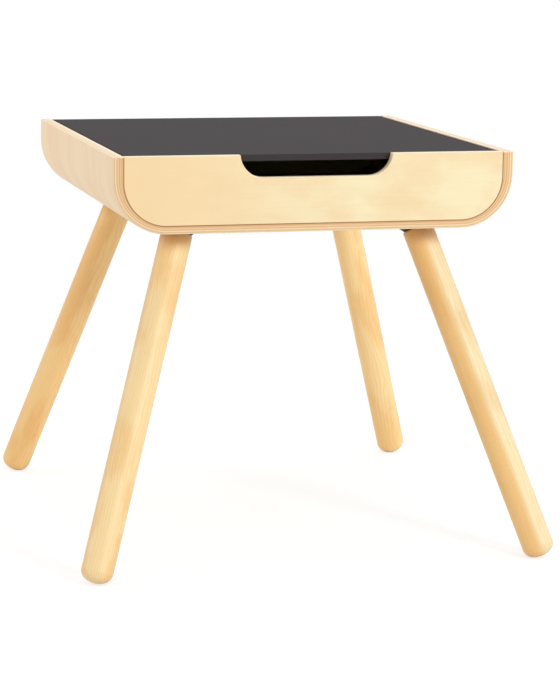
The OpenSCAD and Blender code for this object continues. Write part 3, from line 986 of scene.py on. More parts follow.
@dataclass(frozen=True)
class LaminateFinish:
    """Matt laminate on a board: a fine pearl, faint marks of wiping, painted shade at its edges.
    """

    base: Colour
    worn: Colour
    core: Colour
    # Painted shade of the gaps where the lid meets the walls and the front panel: its colour,
    # width and strength.
    gap_shade: Colour
    low: Vector
    high: Vector
    notch_half: float
    sheet: float = 0.0006
    core_band: Pair = (1.0, 1.6)
    gap_shade_width: float = 0.003
    gap_shade_share: float = 0.9
    wall_band: Pair = (2.0, 1.0)
    panel_band: Pair = (1.5, 1.0)
    wipe_waves: Triple = (3.0, 14.0, 3.0)
    worn_band: Pair = (0.4, 0.75)
    worn_share: float = 0.35
    roughness: float = 0.7
    spread: float = 0.08
    specular: float = 0.078
    pearl_waves: Triple = (1400.0, 1400.0, 1400.0)
    pearl_depth: float = 0.00003

    def gap_shaded(self, graph: Graph, x: Socket, y: Socket) -> Socket:
        """Finds the painted gap shade along the walls, and along the front panel beside its
        notch.

        Args:
            graph: The material.
            x: The point's X.
            y: The point's Y.

        Returns:
            The share of the painted shade.
        """
        wide, across = self.gap_shade_width, graph.size(x)
        at_walls = graph.step(across, *band(self.high.x, -wide, self.wall_band))
        at_panel = graph.times(
            graph.step(y, *band(self.low.y, wide, self.panel_band)),
            graph.step(across, self.notch_half, self.notch_half + wide),
        )
        return graph.times(graph.most(at_walls, at_panel), self.gap_shade_share)

    def material(self, name: str) -> bpy.types.Material:
        """Builds the material of the lid.

        Args:
            name: The material's name.

        Returns:
            The material.
        """
        graph = Graph.of_material(name)
        x, y, z = graph.place()
        pearl = graph.noise(graph.scaled((x, y, z), self.pearl_waves), detail=2.0)
        wipe = graph.noise(graph.scaled((x, y, z), self.wipe_waves), detail=5.0, rough=0.65)
        worn = graph.times(graph.step(wipe, *self.worn_band), self.worn_share)
        face = graph.blend(worn, self.base, self.worn)
        # Painted shade in the gaps along the walls and the front panel.
        gap_shaded = graph.blend(self.gap_shaded(graph, x, y), face, self.gap_shade)
        within = graph.times(
            graph.step(z, *band(self.low.z, self.sheet, self.core_band)),
            graph.step(z, *band(self.high.z, -self.sheet, self.core_band)),
        )
        return graph.surface(
            graph.blend(within, gap_shaded, self.core),
            graph.spread(wipe, self.roughness, self.spread),
            graph.bump(pearl, self.pearl_depth),
            Specular_IOR_Level=self.specular,
        )


@dataclass(frozen=True)
class MetalFinish:
    """Bare or coated metal, with fine marks that run along one direction."""

    light: Colour
    dark: Colour
    metallic: float
    roughness: float
    waves: Triple
    depth: float = 0.00002
    spread: float = 0.16
    specular: float = 0.5
    mark_band: Pair = (0.3, 0.7)
    patch_waves: Triple = (90.0, 90.0, 90.0)

    def material(self, name: str) -> bpy.types.Material:
        """Builds the material.

        Args:
            name: The material's name.

        Returns:
            The material.
        """
        graph = Graph.of_material(name)
        place = graph.place()
        marks = graph.noise(graph.scaled(place, self.waves), detail=4.0, rough=0.6)
        patches = graph.noise(graph.scaled(place, self.patch_waves))
        return graph.surface(
            graph.blend(graph.step(marks, *self.mark_band), self.dark, self.light),
            graph.spread(patches, self.roughness, self.spread),
            graph.bump(marks, self.depth),
            Metallic=self.metallic,
            Specular_IOR_Level=self.specular,
        )


@dataclass(frozen=True)
class FeltFinish:
    """Dense felt: tangled fibres that scatter light at their tips."""

    light: Colour
    dark: Colour
    waves: Triple = (2600.0, 1040.0, 2600.0)
    tangle_band: Pair = (0.35, 0.7)
    roughness: float = 0.95
    nap: float = 0.0002
    sheen: float = 0.4
    specular: float = 0.1

    def material(self, name: str) -> bpy.types.Material:
        """Builds the material.

        Args:
            name: The material's name.

        Returns:
            The material.
        """
        graph = Graph.of_material(name)
        tangle = graph.noise(graph.scaled(graph.place(), self.waves), detail=5.0, rough=0.7)
        return graph.surface(
            graph.blend(graph.step(tangle, *self.tangle_band), self.dark, self.light),
            self.roughness,
            graph.bump(tangle, self.nap),
            Sheen_Weight=self.sheen,
            Specular_IOR_Level=self.specular,
        )


def adopt(
    mesh: bpy.types.Mesh,
    name: str,
    body: str,
    material: bpy.types.Material,
    nodes: Sequence[str],
) -> bpy.types.Object:
    """Puts a finished mesh into the scene in place of frame nodes.

    Args:
        mesh: The mesh, in the table's frame.
        name: The new piece's name.
        body: The body that it moves with.
        material: Its finish.
        nodes: The frame nodes that it stands for.

    Returns:
        The new piece.
    """
    piece = bpy.data.objects.new(name, mesh)
    bpy.context.scene.collection.objects.link(piece)
    mesh.materials.clear()
    mesh.materials.append(material)
    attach(piece, body)
    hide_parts(*nodes)
    LOG.info("%s: %d faces, in place of %s", name, len(mesh.polygons), ", ".join(nodes))
    return piece


def dress(nodes: Sequence[str], material: bpy.types.Material) -> None:
    """Gives frame nodes a finish and keeps their meshes.

    Args:
        nodes: The nodes' names.
        material: The finish.
    """
    for node in nodes:
        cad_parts[node].material_slots[0].material = material
        LOG.info("%s: frame mesh with %s", node, material.name)


def as_mesh(shape: bmesh.types.BMesh, name: str) -> bpy.types.Mesh:
    """Writes a shape into a new mesh and lets the shape go.

    Args:
        shape: The shape.
        name: The mesh's name.

    Returns:
        The mesh.
    """
    mesh = bpy.data.meshes.new(name)
    shape.to_mesh(mesh)
    shape.free()
    return mesh


def shade(shape: bmesh.types.BMesh, sharp: float) -> None:
    """Shades a shape smoothly over everything but its sharp edges.

    Args:
        shape: The shape.
        sharp: The least angle between two faces that stays sharp, in radians.
    """
    for face in shape.faces:
        face.smooth = True
    for edge in shape.edges:
        edge.smooth = edge.calc_face_angle(0.0) < sharp


def weld(shape: bmesh.types.BMesh) -> None:
    """Joins corners that lie in one place."""
    bmesh.ops.remove_doubles(shape, verts=shape.verts, dist=WELD)


def ease(
    shape: bmesh.types.BMesh, edges: Sequence[bmesh.types.BMEdge], width: float, segments: int
) -> None:
    """Rounds edges of a shape.

    Args:
        shape: The shape.
        edges: The edges.
        width: The width of the rounding, in metres.
        segments: How many faces it has.
    """
    bmesh.ops.bevel(
        shape,
        geom=edges,
        offset=width,
        offset_type="OFFSET",
        affect="EDGES",
        segments=segments,
        profile=0.5,
        material=-1,
        clamp_overlap=True,
    )


def turn_on_lathe(shape: bmesh.types.BMesh, section: Sequence[Vector], facets: int) -> None:
    """Turns a half section once round Z and closes the seam.

    Args:
        shape: The shape that it is added to.
        section: The corners of the half section, in order.
        facets: How many faces go round.
    """
    corners = [shape.verts.new(corner) for corner in section]
    lines = [shape.edges.new(pair) for pair in zip(corners, corners[1:])]
    bmesh.ops.spin(
        shape,
        geom=corners + lines,
        cent=(0, 0, 0),
        axis=UP,
        angle=math.tau,
        steps=facets,
        use_merge=True,
        use_duplicate=False,
    )
    weld(shape)


def softened(node: str, width: float, segments: int, sharp: float) -> bpy.types.Mesh:
    """Copies a frame node's mesh, joins its loose triangles and rounds its sharp edges.

    Args:
        node: The node's name.
        width: The width of the rounding, in metres.
        segments: How many faces it has.
        sharp: The least angle between two faces that is rounded, in radians.

    Returns:
        The new mesh, with smooth shading over everything but what stays sharp.
    """
    shape = bmesh.new()
    shape.from_mesh(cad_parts[node].data)
    weld(shape)
    bmesh.ops.dissolve_limit(shape, angle_limit=FLAT, verts=shape.verts, edges=shape.edges)
    edges = [e for e in shape.edges if len(e.link_faces) == 2 and e.calc_face_angle(0.0) > sharp]
    ease(shape, edges, width, segments)
    weld(shape)
    bmesh.ops.triangulate(shape, faces=[f for f in shape.faces if len(f.verts) > 4])
    shade(shape, CREASE)
    return as_mesh(shape, f"{node}_softened")


@dataclass(frozen=True)
class WoodScrew:
    """A wood screw with a cross recess. Its head's top is at z = 0 and its point is below.

    The sizes that end in share are parts of the radius, or of the thread's pitch, beside them.
    """

    shank_r: float
    length: float
    head: Head
    head_r: float
    head_h: float
    recess_r: float
    recess_w: float
    recess_depth: float
    thread_pitch: float
    core_share: float = 0.74
    tip_share: float = 2.0
    point_share: float = 0.08
    rim_share: float = 0.06
    crown_share: float = 0.5
    crown_steps: int = 4
    flat_share: float = 1.05
    recess_taper: float = 0.62
    thread_top_share: float = 1.6
    thread_end_share: float = 2.4
    tooth_share: float = 0.3
    root_share: float = 0.9
    sides: int = 32
    turn_steps: int = 16
    crease: float = math.radians(40)

    @classmethod
    def countersunk(cls, radius: float, length: float, head_h: float) -> "WoodScrew":
        """Sizes a countersunk screw by its head.

        Args:
            radius: The head's radius.
            length: The whole screw's length.
            head_h: The head's height.

        Returns:
            The screw.
        """
        return cls(
            shank_r=radius / 2,
            length=length,
            head=Head.COUNTERSUNK,
            head_r=radius,
            head_h=head_h,
            recess_r=0.62 * radius,
            recess_w=0.26 * radius,
            recess_depth=0.45 * radius,
            thread_pitch=0.375 * radius,
        )

    @classmethod
    def round_headed(cls, shank_r: float, length: float, head_h: float) -> "WoodScrew":
        """Sizes a round-headed screw by its shank.

        Args:
            shank_r: The shank's radius.
            length: The whole screw's length.
            head_h: The head's height.

        Returns:
            The screw.
        """
        return cls(
            shank_r=shank_r,
            length=length,
            head=Head.ROUND,
            head_r=2 * shank_r,
            head_h=head_h,
            recess_r=1.05 * shank_r,
            recess_w=0.5 * shank_r,
            recess_depth=0.75 * shank_r,
            thread_pitch=0.8 * shank_r,
        )

    @property
    def core_r(self) -> float:
        """The radius of the thread's core."""
        return self.shank_r * self.core_share

    def head_section(self) -> list[Pair]:
        """Gives the half section of the head, from the flat round the recess to the shank.

        Returns:
            The corners, as a radius and a height.
        """
        neck = (self.shank_r, -self.head_h)
        if self.head is Head.COUNTERSUNK:
            rim = self.rim_share * self.head_r
            return [(self.head_r - rim, 0.0), (self.head_r, -rim), neck]
        flat, rise = self.recess_r * self.flat_share, self.crown_share * self.head_h
        angles = [math.pi / 2 * i / self.crown_steps for i in range(self.crown_steps + 1)]
        crown = [
            (flat + (self.head_r - flat) * math.sin(a), -rise * (1 - math.cos(a))) for a in angles
        ]
        return [*crown, (self.head_r, -self.head_h), neck]

    def section(self) -> list[Vector]:
        """Gives the half section of the head and core.

        Returns:
            The corners, from the flat round the recess down to the point.
        """
        core = [
            (self.shank_r, -self.head_h - 0.5 * self.thread_pitch),
            (self.core_r, -self.head_h - self.thread_pitch),
            (self.core_r, -self.length + self.tip_share * self.shank_r),
            (self.point_share * self.shank_r, -self.length),
            (0.0, -self.length),
        ]
        return [Vector((r, 0.0, z)) for r, z in self.head_section() + core]

    def recess_outline(self) -> list[Vector]:
        """Gives the twelve corners of the cross.

        Returns:
            The corners, in order round the axis.
        """
        arm, half = self.recess_r, self.recess_w / 2
        quarter = [(arm, -half), (arm, half), (half, half)]
        return [
            Matrix.Rotation(math.pi / 2 * i, 3, "Z") @ Vector((x, y, 0.0))
            for i in range(4)
            for x, y in quarter
        ]

    def add_body(self, shape: bmesh.types.BMesh) -> None:
        """Turns the head and core, and sinks the recess into the head.

        Args:
            shape: The shape that they are added to.
        """
        turn_on_lathe(shape, self.section(), self.sides)
        rim = [e for e in shape.edges if e.is_boundary]
        corners = [shape.verts.new(corner) for corner in self.recess_outline()]
        cross = [shape.edges.new(pair) for pair in zip(corners, corners[1:] + corners[:1])]
        bmesh.ops.triangle_fill(shape, use_beauty=True, edges=rim + cross)
        walls = bmesh.ops.extrude_edge_only(shape, edges=cross)["geom"]
        low = [v for v in walls if isinstance(v, bmesh.types.BMVert)]
        bmesh.ops.scale(shape, vec=(self.recess_taper, self.recess_taper, 1.0), verts=low)
        bmesh.ops.translate(shape, vec=(0, 0, -self.recess_depth), verts=low)
        floor = [e for e in walls if isinstance(e, bmesh.types.BMEdge) and e.is_boundary]
        bmesh.ops.triangle_fill(shape, use_beauty=True, edges=floor)

    def add_thread(self, shape: bmesh.types.BMesh) -> None:
        """Winds one thread round the core, from under the head to the tip.

        Args:
            shape: The shape that it is added to.
        """
        start = -self.head_h - self.thread_top_share * self.thread_pitch
        end = -self.length + self.thread_end_share * self.shank_r
        steps = int(max((start - end) / self.thread_pitch, 0.0) * self.turn_steps)
        if steps < 1:
            return
        root, half = self.root_share * self.core_r, self.tooth_share * self.thread_pitch
        tooth = [(root, start + half), (self.shank_r, start), (root, start - half)]
        bmesh.ops.spin(
            shape,
            geom=[shape.faces.new([shape.verts.new((r, 0.0, z)) for r, z in tooth])],
            cent=(0, 0, 0),
            axis=UP,
            dvec=(0, 0, -self.thread_pitch / self.turn_steps),
            angle=math.tau * steps / self.turn_steps,
            steps=steps,
            use_merge=False,
            use_duplicate=False,
        )

    def mesh(self, name: str) -> bpy.types.Mesh:
        """Builds the whole screw.

        Args:
            name: The mesh's name.

        Returns:
            The mesh, with its faces outwards.
        """
        shape = bmesh.new()
        self.add_body(shape)
        self.add_thread(shape)
        bmesh.ops.recalc_face_normals(shape, faces=shape.faces)
        shade(shape, self.crease)
        return as_mesh(shape, name)


@dataclass(frozen=True)
class CrossAngles:
    """Where the crosses of a set of screws stopped: another angle for each, in degrees."""

    first: float
    step: float

    def turn(self, index: int) -> Matrix:
        """Gives the turn of one screw round its own axis."""
        return Matrix.Rotation(math.radians(self.first + self.step * index), 4, "Z")


def placed_copies(mesh: bpy.types.Mesh, places: Sequence[Matrix], name: str) -> bpy.types.Mesh:
    """Joins copies of one mesh at several places.

    Args:
        mesh: What is copied.
        places: Where each copy goes.
        name: The joined mesh's name.

    Returns:
        The joined mesh.
    """
    shape = bmesh.new()
    for place in places:
        before = len(shape.verts)
        shape.from_mesh(mesh)
        shape.verts.ensure_lookup_table()
        bmesh.ops.transform(shape, matrix=place, verts=shape.verts[before:])
    return as_mesh(shape, name)


def islands(node: str) -> list[tuple[Vector, Vector]]:
    """Finds the separate solids of a frame node.

    Args:
        node: The node's name.

    Returns:
        The lowest and highest corner of each solid, ordered by X and then Y.
    """
    shape = bmesh.new()
    shape.from_mesh(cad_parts[node].data)
    weld(shape)
    left = set(shape.verts)
    boxes = []
    while left:
        stack = [left.pop()]
        low, high = stack[0].co.copy(), stack[0].co.copy()
        while stack:
            vert = stack.pop()
            low = Vector(map(min, low, vert.co))
            high = Vector(map(max, high, vert.co))
            for edge in vert.link_edges:
                other = edge.other_vert(vert)
                if other in left:
                    left.remove(other)
                    stack.append(other)
        boxes.append((low, high))
    shape.free()
    return sorted(boxes, key=lambda b: (round(b[0].x, PLACES), round(b[0].y, PLACES)))


class Finishes:
    """The finishes that several parts of the table share, built once."""

    def __init__(self) -> None:
        """Builds the materials."""
        beech = WoodTones(
            pale=paint(238, 202, 150),
            warm=paint(226, 184, 130),
            line=paint(196, 148, 96),
            fleck=paint(160, 112, 68),
        )
        self.strip = StripWoodFinish(beech).material("beech_strip")
        self.coat = MetalFinish(
            light=paint(34, 34, 36),
            dark=paint(24, 24, 25),
            metallic=0.0,
            roughness=0.55,
            waves=(1500.0, 1500.0, 1500.0),
            depth=0.00004,
        ).material("black_powder_coat")
        self.zinc = MetalFinish(
            light=paint(205, 204, 198),
            dark=paint(176, 175, 170),
            metallic=1.0,
            roughness=0.34,
            waves=(700.0, 700.0, 700.0),
        ).material("zinc_plate")
        self.steel = MetalFinish(
            light=paint(200, 200, 202),
            dark=paint(172, 172, 175),
            metallic=1.0,
            roughness=0.36,
            waves=(120.0, 2600.0, 2600.0),
        ).material("brushed_steel")
        self.felt = FeltFinish(light=paint(72, 71, 74), dark=paint(44, 43, 46)).material("felt")


@dataclass(frozen=True)
class Box:
    """The storage box: the bent shell, the end panels and their dowels."""

    sizes: TableSizes
    shell_plies: int = 9
    panel_plies: int = 7
    # The dark joint line at the panels: dust and painted shade in the joint.
    seam: Colour = paint(176, 132, 82)
    glue: Colour = paint(156, 114, 70)
    cross: Colour = paint(196, 154, 104)
    # A painted highlight on the tops of the walls and the panels.
    rim: Colour = paint(254, 242, 220)

    def shell_finish(self) -> bpy.types.Material:
        """Builds the finish of the bent shell.

        Returns:
            The material.
        """
        tones = WoodTones(
            pale=paint(240, 214, 177),
            warm=paint(236, 205, 166),
            line=paint(210, 172, 130),
            fleck=paint(190, 148, 104),
            line_share=0.11,
            fleck_share=0.12,
        )
        plies = Plies(self.sizes.ply, self.shell_plies, self.cross, self.glue, cross_share=0.55)
        return BentPlyFinish(
            sizes=self.sizes,
            tones=tones,
            edge=paint(234, 206, 164),
            inner_edge=paint(224, 180, 128),
            plies=plies,
            seam=self.seam,
            rim=self.rim,
            # The outer half of the painted highlight on the wall tops.
            outer_top_highlight=paint(246, 222, 189),
        ).material("bent_birch_ply")

    def panel_finish(self, end: End) -> bpy.types.Material:
        """Builds the finish of an end panel.

        Args:
            end: The panel's end.

        Returns:
            The material.
        """
        tones = WoodTones(
            pale=paint(235, 221, 180),
            warm=paint(232, 208, 163),
            line=paint(208, 172, 122),
            fleck=paint(184, 140, 92),
            line_share=0.09,
            fleck_share=0.12,
        )
        plies = Plies(
            thickness=self.sizes.panel,
            count=self.panel_plies,
            cross=self.cross,
            glue=self.glue,
            cross_share=0.4,
            glue_share=0.25,
        )
        return PanelPlyFinish(
            sizes=self.sizes,
            tones=tones,
            plies=plies,
            seam=self.seam,
            rim=self.rim,
            # The painted shade on the panel's left.
            painted_left_shade=paint(235, 203, 155),
            end=end,
        ).material(f"{end.name.lower()}_birch_ply")

    def build(self, finishes: Finishes) -> None:
        """Dresses the box.

        Args:
            finishes: The table's shared finishes.
        """
        dress(["shell"], self.shell_finish())
        for end in End:
            panel = f"{end.name.lower()}_panel"
            dress([panel], self.panel_finish(end))
            dress([f"{panel}_dowels"], finishes.strip)


@dataclass(frozen=True)
class Lid:
    """The lid, the strips and pads that it lies on, and its hinges."""

    sizes: TableSizes
    leaf_round: float = 0.00018
    leaf_segments: int = 2
    strip_round: float = 0.0006
    strip_segments: int = 3
    sharp: float = math.radians(50)
    pad_round: float = 0.0006
    pad_rings: int = 4
    pad_sides: int = 40
    leaf_head_h: float = 0.0012
    crosses: CrossAngles = CrossAngles(first=23.0, step=61.0)

    def laminate(self) -> bpy.types.Material:
        """Builds the finish of the lid itself.

        Returns:
            The material.
        """
        low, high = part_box("lid")
        return LaminateFinish(
            base=paint(57, 52, 54),
            worn=paint(62, 57, 59),
            core=paint(60, 55, 56),
            # The painted shade of the gaps round the lid.
            gap_shade=paint(52, 36, 20),
            low=low,
            high=high,
            notch_half=self.sizes.notch / 2,
        ).material("dark_laminate")

    def build(self, finishes: Finishes) -> None:
        """Dresses the lid, and models its strips, leaves, pads and screws.

        Args:
            finishes: The table's shared finishes.
        """
        dress(["lid"], self.laminate())
        for side in Side:
            name = side.name.lower()
            dress([f"hinge_{name}_pin"], finishes.steel)
            self.add_strip(f"lid_rest_{name}", finishes.strip)
            self.add_leaf(f"hinge_{name}_fixed_leaf", TABLE_BODY, finishes.steel)
            self.add_leaf(f"hinge_{name}_moving_leaf", LID_BODY, finishes.steel)
        self.add_pads(finishes.felt)
        self.add_screws("lid_rest_screws", Facing.MIDDLE, TABLE_BODY, finishes.zinc)
        self.add_screws("hinge_screws_panel", Facing.UP, TABLE_BODY, finishes.zinc)
        self.add_screws("hinge_screws_lid", Facing.DOWN, LID_BODY, finishes.zinc)

    def add_strip(self, node: str, wood: bpy.types.Material) -> None:
        """Rounds the edges of a strip under the lid.

        Args:
            node: The strip's frame node.
            wood: Its finish.
        """
        mesh = softened(node, self.strip_round, self.strip_segments, self.sharp)
        adopt(mesh, f"{node}_strip", TABLE_BODY, wood, [node])

    def add_leaf(self, node: str, body: str, steel: bpy.types.Material) -> None:
        """Rounds the edges of a hinge leaf.

        Args:
            node: The leaf's frame node.
            body: The body that it moves with.
            steel: Its finish.
        """
        mesh = softened(node, self.leaf_round, self.leaf_segments, self.sharp)
        adopt(mesh, f"{node}_pressed", body, steel, [node])

    def add_pads(self, felt: bpy.types.Material) -> None:
        """Makes the felt pads, with their upper edges rounded.

        Args:
            felt: Their finish.
        """
        boxes = islands("lid_pads")
        span = boxes[0][1] - boxes[0][0]
        shape = bmesh.new()
        bmesh.ops.create_circle(shape, cap_ends=True, radius=span.x / 2, segments=self.pad_sides)
        grown = bmesh.ops.extrude_face_region(shape, geom=shape.faces[:])["geom"]
        top = [v for v in grown if isinstance(v, bmesh.types.BMVert)]
        bmesh.ops.translate(shape, vec=(0, 0, span.z), verts=top)
        rim = [e for e in shape.edges if all(v.co.z > span.z / 2 for v in e.verts)]
        ease(shape, rim, self.pad_round, self.pad_rings)
        bmesh.ops.recalc_face_normals(shape, faces=shape.faces)
        shade(shape, math.pi)
        pad = as_mesh(shape, "pad")
        places = [Matrix.Translation(((a.x + b.x) / 2, (a.y + b.y) / 2, a.z)) for a, b in boxes]
        mesh = placed_copies(pad, places, "lid_pads_felt")
        adopt(mesh, "lid_pads_felt", TABLE_BODY, felt, ["lid_pads"])

    def seat(self, low: Vector, high: Vector, facing: Facing) -> tuple[Matrix, WoodScrew]:
        """Measures one screw of a frame node.

        Args:
            low: The lowest corner of its box.
            high: The highest corner.
            facing: Where its head faces.

        Returns:
            Where the top of its head lies and faces, and the screw that fits there.
        """
        head, span = (low + high) / 2, high - low
        if facing is Facing.MIDDLE:
            side = 1 if head.x > 0 else -1
            head.x = low.x if side > 0 else high.x
            turn = Matrix.Rotation(-side * math.pi / 2, 4, "Y")
            screw = WoodScrew.countersunk(span.y / 2, span.x, span.y / 4)
        else:
            up = facing is Facing.UP
            head.z = high.z if up else low.z
            turn = Matrix.Rotation(0.0 if up else math.pi, 4, "X")
            screw = WoodScrew.countersunk(span.x / 2, span.z, self.leaf_head_h)
        return Matrix.Translation(head) @ turn, screw

    def add_screws(self, node: str, facing: Facing, body: str, zinc: bpy.types.Material) -> None:
        """Puts countersunk screws where a frame node has plain ones.

        Args:
            node: The node's name.
            facing: Where their heads face.
            body: The body that they move with.
            zinc: Their finish.
        """
        seats = [self.seat(low, high, facing) for low, high in islands(node)]
        places = [place @ self.crosses.turn(index) for index, (place, _) in enumerate(seats)]
        screw = seats[-1][1].mesh(f"{node}_one")
        name = f"{node}_threaded"
        mesh = placed_copies(screw, places, name)
        adopt(mesh, name, body, zinc, [node])


@dataclass(frozen=True)
class TurnedLeg:
    """A leg as it leaves the lathe: a straight round with an eased top and a domed foot."""

    sizes: TableSizes
    top_round: float = 0.002
    foot_turn: float = 0.013
    foot_dome: float = 0.028
    bore: float = 0.00405
    thread_bore: float = 0.00375
    collar: float = 0.002
    bore_depth: float = 0.0405
    hold: float = 0.0015
    facets: int = 96
    arc_steps: int = 8

    def arc(self, x: float, z: float, radius: float, start: float, end: float) -> list[Vector]:
        """Gives points on an arc in the leg's half section.

        Args:
            x: The arc's centre, across the leg.
            z: The arc's centre, along the leg.
            radius: The arc's radius.
            start: The angle of the first point, from straight down, in radians.
            end: The angle of the last point.

        Returns:
            The points.
        """
        angles = [start + (end - start) * i / self.arc_steps for i in range(self.arc_steps + 1)]
        return [Vector((x + radius * math.sin(a), 0.0, z - radius * math.cos(a))) for a in angles]

    def section(self, length: float) -> list[Vector]:
        """Gives the half section, from the middle of the foot to the end of the bore.

        Args:
            length: The leg's length along its axis.

        Returns:
            The corners, with X across the leg and Z up it from the foot.
        """
        radius = self.sizes.leg_radius
        turn_x = radius - self.foot_turn
        lean = math.asin(turn_x / (self.foot_dome - self.foot_turn))
        turn_z = self.foot_dome - (self.foot_dome - self.foot_turn) * math.cos(lean)
        top_x, top_z = radius - self.top_round, length - self.top_round
        level = math.pi / 2
        side = [(radius, turn_z + self.hold), (radius, top_z - self.hold)]
        inside = [
            (self.bore, length),
            (self.bore, length - self.collar),
            (self.thread_bore, length - self.collar),
            (self.thread_bore, length - self.bore_depth),
            (0.0, length - self.bore_depth),
        ]
        return [
            *self.arc(0.0, self.foot_dome, self.foot_dome, 0.0, lean),
            *self.arc(turn_x, turn_z, self.foot_turn, lean, level)[1:],
            *[Vector((x, 0.0, z)) for x, z in side],
            *self.arc(top_x, top_z, self.top_round, level, math.pi),
            *[Vector((x, 0.0, z)) for x, z in inside],
        ]

    def mesh(self, node: str, side: Side, end: End) -> bpy.types.Mesh:
        """Turns the leg, and stands it where its frame node stands.

        Args:
            node: The frame node, which gives the leg's length.
            side: The leg's side.
            end: The leg's end.

        Returns:
            The mesh, with its faces outwards.
        """
        axis, root = self.sizes.leg_axis(side, end), self.sizes.leg_root(side, end)
        runs = [axis.dot(v.co - root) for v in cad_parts[node].data.vertices]
        shape = bmesh.new()
        turn_on_lathe(shape, self.section(max(runs) - min(runs)), self.facets)
        bmesh.ops.recalc_face_normals(shape, faces=shape.faces)
        shade(shape, CREASE)
        lean = UP.rotation_difference(axis).to_matrix().to_4x4()
        place = Matrix.Translation(root + min(runs) * axis) @ lean
        bmesh.ops.transform(shape, matrix=place, verts=shape.verts)
        return as_mesh(shape, f"{node}_turned")


@dataclass(frozen=True)
class Legs:
    """The four legs with their pressed mounts, sleeves, bolts and screws."""

    sizes: TableSizes
    plate_round: float = 0.0005
    plate_segments: int = 3
    sharp: float = math.radians(40)
    shank_r: float = 0.002
    head_h: float = 0.0026
    crosses: CrossAngles = CrossAngles(first=17.0, step=47.0)
    # The turn that faces each leg's painted lit side towards the lamps, and the tints of both
    # sides.
    lit_side_turn: float = math.radians(25)
    blank_shift: float = 0.37
    shaded_side_tint: Triple = (0.95, 0.87, 0.75)
    lit_side_tint: Triple = (0.95, 0.85, 0.74)

    # Each leg's colour on its shaded side and on its painted lit side.
    blanks: ClassVar[dict[tuple[Side, End], tuple[Colour, Colour]]] = {
        (Side.LEFT, End.FRONT): (paint(236, 194, 130), paint(240, 211, 156)),
        (Side.RIGHT, End.FRONT): (paint(236, 194, 128), paint(233, 214, 169)),
        (Side.LEFT, End.BACK): (paint(238, 193, 124), paint(240, 200, 136)),
        (Side.RIGHT, End.BACK): (paint(248, 212, 148), paint(249, 218, 158)),
    }

    def wood(self, node: str, side: Side, end: End) -> bpy.types.Material:
        """Builds the finish of one leg, cut from its own blank of wood.

        Args:
            node: The leg's frame node.
            side: The leg's side.
            end: The leg's end.

        Returns:
            The material.
        """
        axis = self.sizes.leg_axis(side, end)
        low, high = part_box(node)
        foot_x = low.x if side is Side.LEFT else high.x
        foot_y = low.y if end is End.FRONT else high.y
        order = 2 * (side is Side.RIGHT) + (end is End.BACK)
        shaded_side, lit_side = self.blanks[side, end]
        tones = WoodTones(
            pale=shaded_side,
            warm=tinted(shaded_side, self.shaded_side_tint),
            line=paint(208, 156, 96),
            fleck=paint(178, 122, 70),
            line_share=0.18,
            fleck_share=0.26,
        )
        return TurnedWoodFinish(
            tones=tones,
            lit_side=lit_side,
            warm_lit_side=tinted(lit_side, self.lit_side_tint),
            # The painted shadow under the box.
            shaded_top=paint(204, 132, 62),
            foot=Vector((foot_x, foot_y, low.z)) + axis * (self.blank_shift * order),
            axis=axis,
            turn=self.lit_side_turn,
            top_z=high.z,
            radius=self.sizes.leg_radius,
        ).material(f"turned_beech_{node}")

    def build(self, finishes: Finishes) -> None:
        """Turns the legs, softens their pressed mounts and models the mounts' screws.

        Args:
            finishes: The table's shared finishes.
        """
        for end in End:
            for side in Side:
                self.add_leg(side, end, finishes)
        self.add_screws(finishes.zinc)

    def add_leg(self, side: Side, end: End, finishes: Finishes) -> None:
        """Turns one leg, and dresses what holds it to the box.

        Args:
            side: The leg's side.
            end: The leg's end.
            finishes: The table's shared finishes.
        """
        name = f"{end.name.lower()}_{side.name.lower()}"
        leg, mount = f"leg_{name}", f"leg_mount_{name}"
        turned = TurnedLeg(self.sizes).mesh(leg, side, end)
        adopt(turned, f"{leg}_turned", TABLE_BODY, self.wood(leg, side, end), [leg])
        dress([f"leg_insert_{name}", f"leg_bolt_{name}"], finishes.zinc)
        pressed = softened(mount, self.plate_round, self.plate_segments, self.sharp)
        adopt(pressed, f"{mount}_pressed", TABLE_BODY, finishes.coat, [mount])

    def add_screws(self, zinc: bpy.types.Material) -> None:
        """Makes the round-headed screws under the mounts.

        Args:
            zinc: Their finish.
        """
        node = "leg_mount_screws"
        boxes = islands(node)
        length = boxes[0][1].z - boxes[0][0].z
        screw = WoodScrew.round_headed(self.shank_r, length, self.head_h).mesh("mount_screw")
        down = Matrix.Rotation(math.pi, 4, "X")
        places = [
            Matrix.Translation(((low.x + high.x) / 2, (low.y + high.y) / 2, low.z))
            @ down
            @ self.crosses.turn(index)
            for index, (low, high) in enumerate(boxes)
        ]
        name = f"{node}_threaded"
        mesh = placed_copies(screw, places, name)
        adopt(mesh, name, TABLE_BODY, zinc, [node])


@dataclass(frozen=True)
class Lamp:
    """A soft square lamp that faces a point."""

    name: str
    place: tuple[float, float, float]
    size: float
    watts: float
    colour: tuple[float, float, float] = (1.0, 1.0, 1.0)
    aim: tuple[float, float, float] = (0.0, 0.0, 0.35)

    def light(self) -> None:
        """Hangs the lamp."""
        data = bpy.data.lights.new(self.name, "AREA")
        data.shape = "SQUARE"
        data.size = self.size
        data.energy = self.watts
        data.color = self.colour
        lamp = bpy.data.objects.new(self.name, data)
        bpy.context.scene.collection.objects.link(lamp)
        lamp.location = self.place
        way = Vector(self.aim) - Vector(self.place)
        lamp.rotation_euler = way.to_track_quat("-Z", "Y").to_euler()


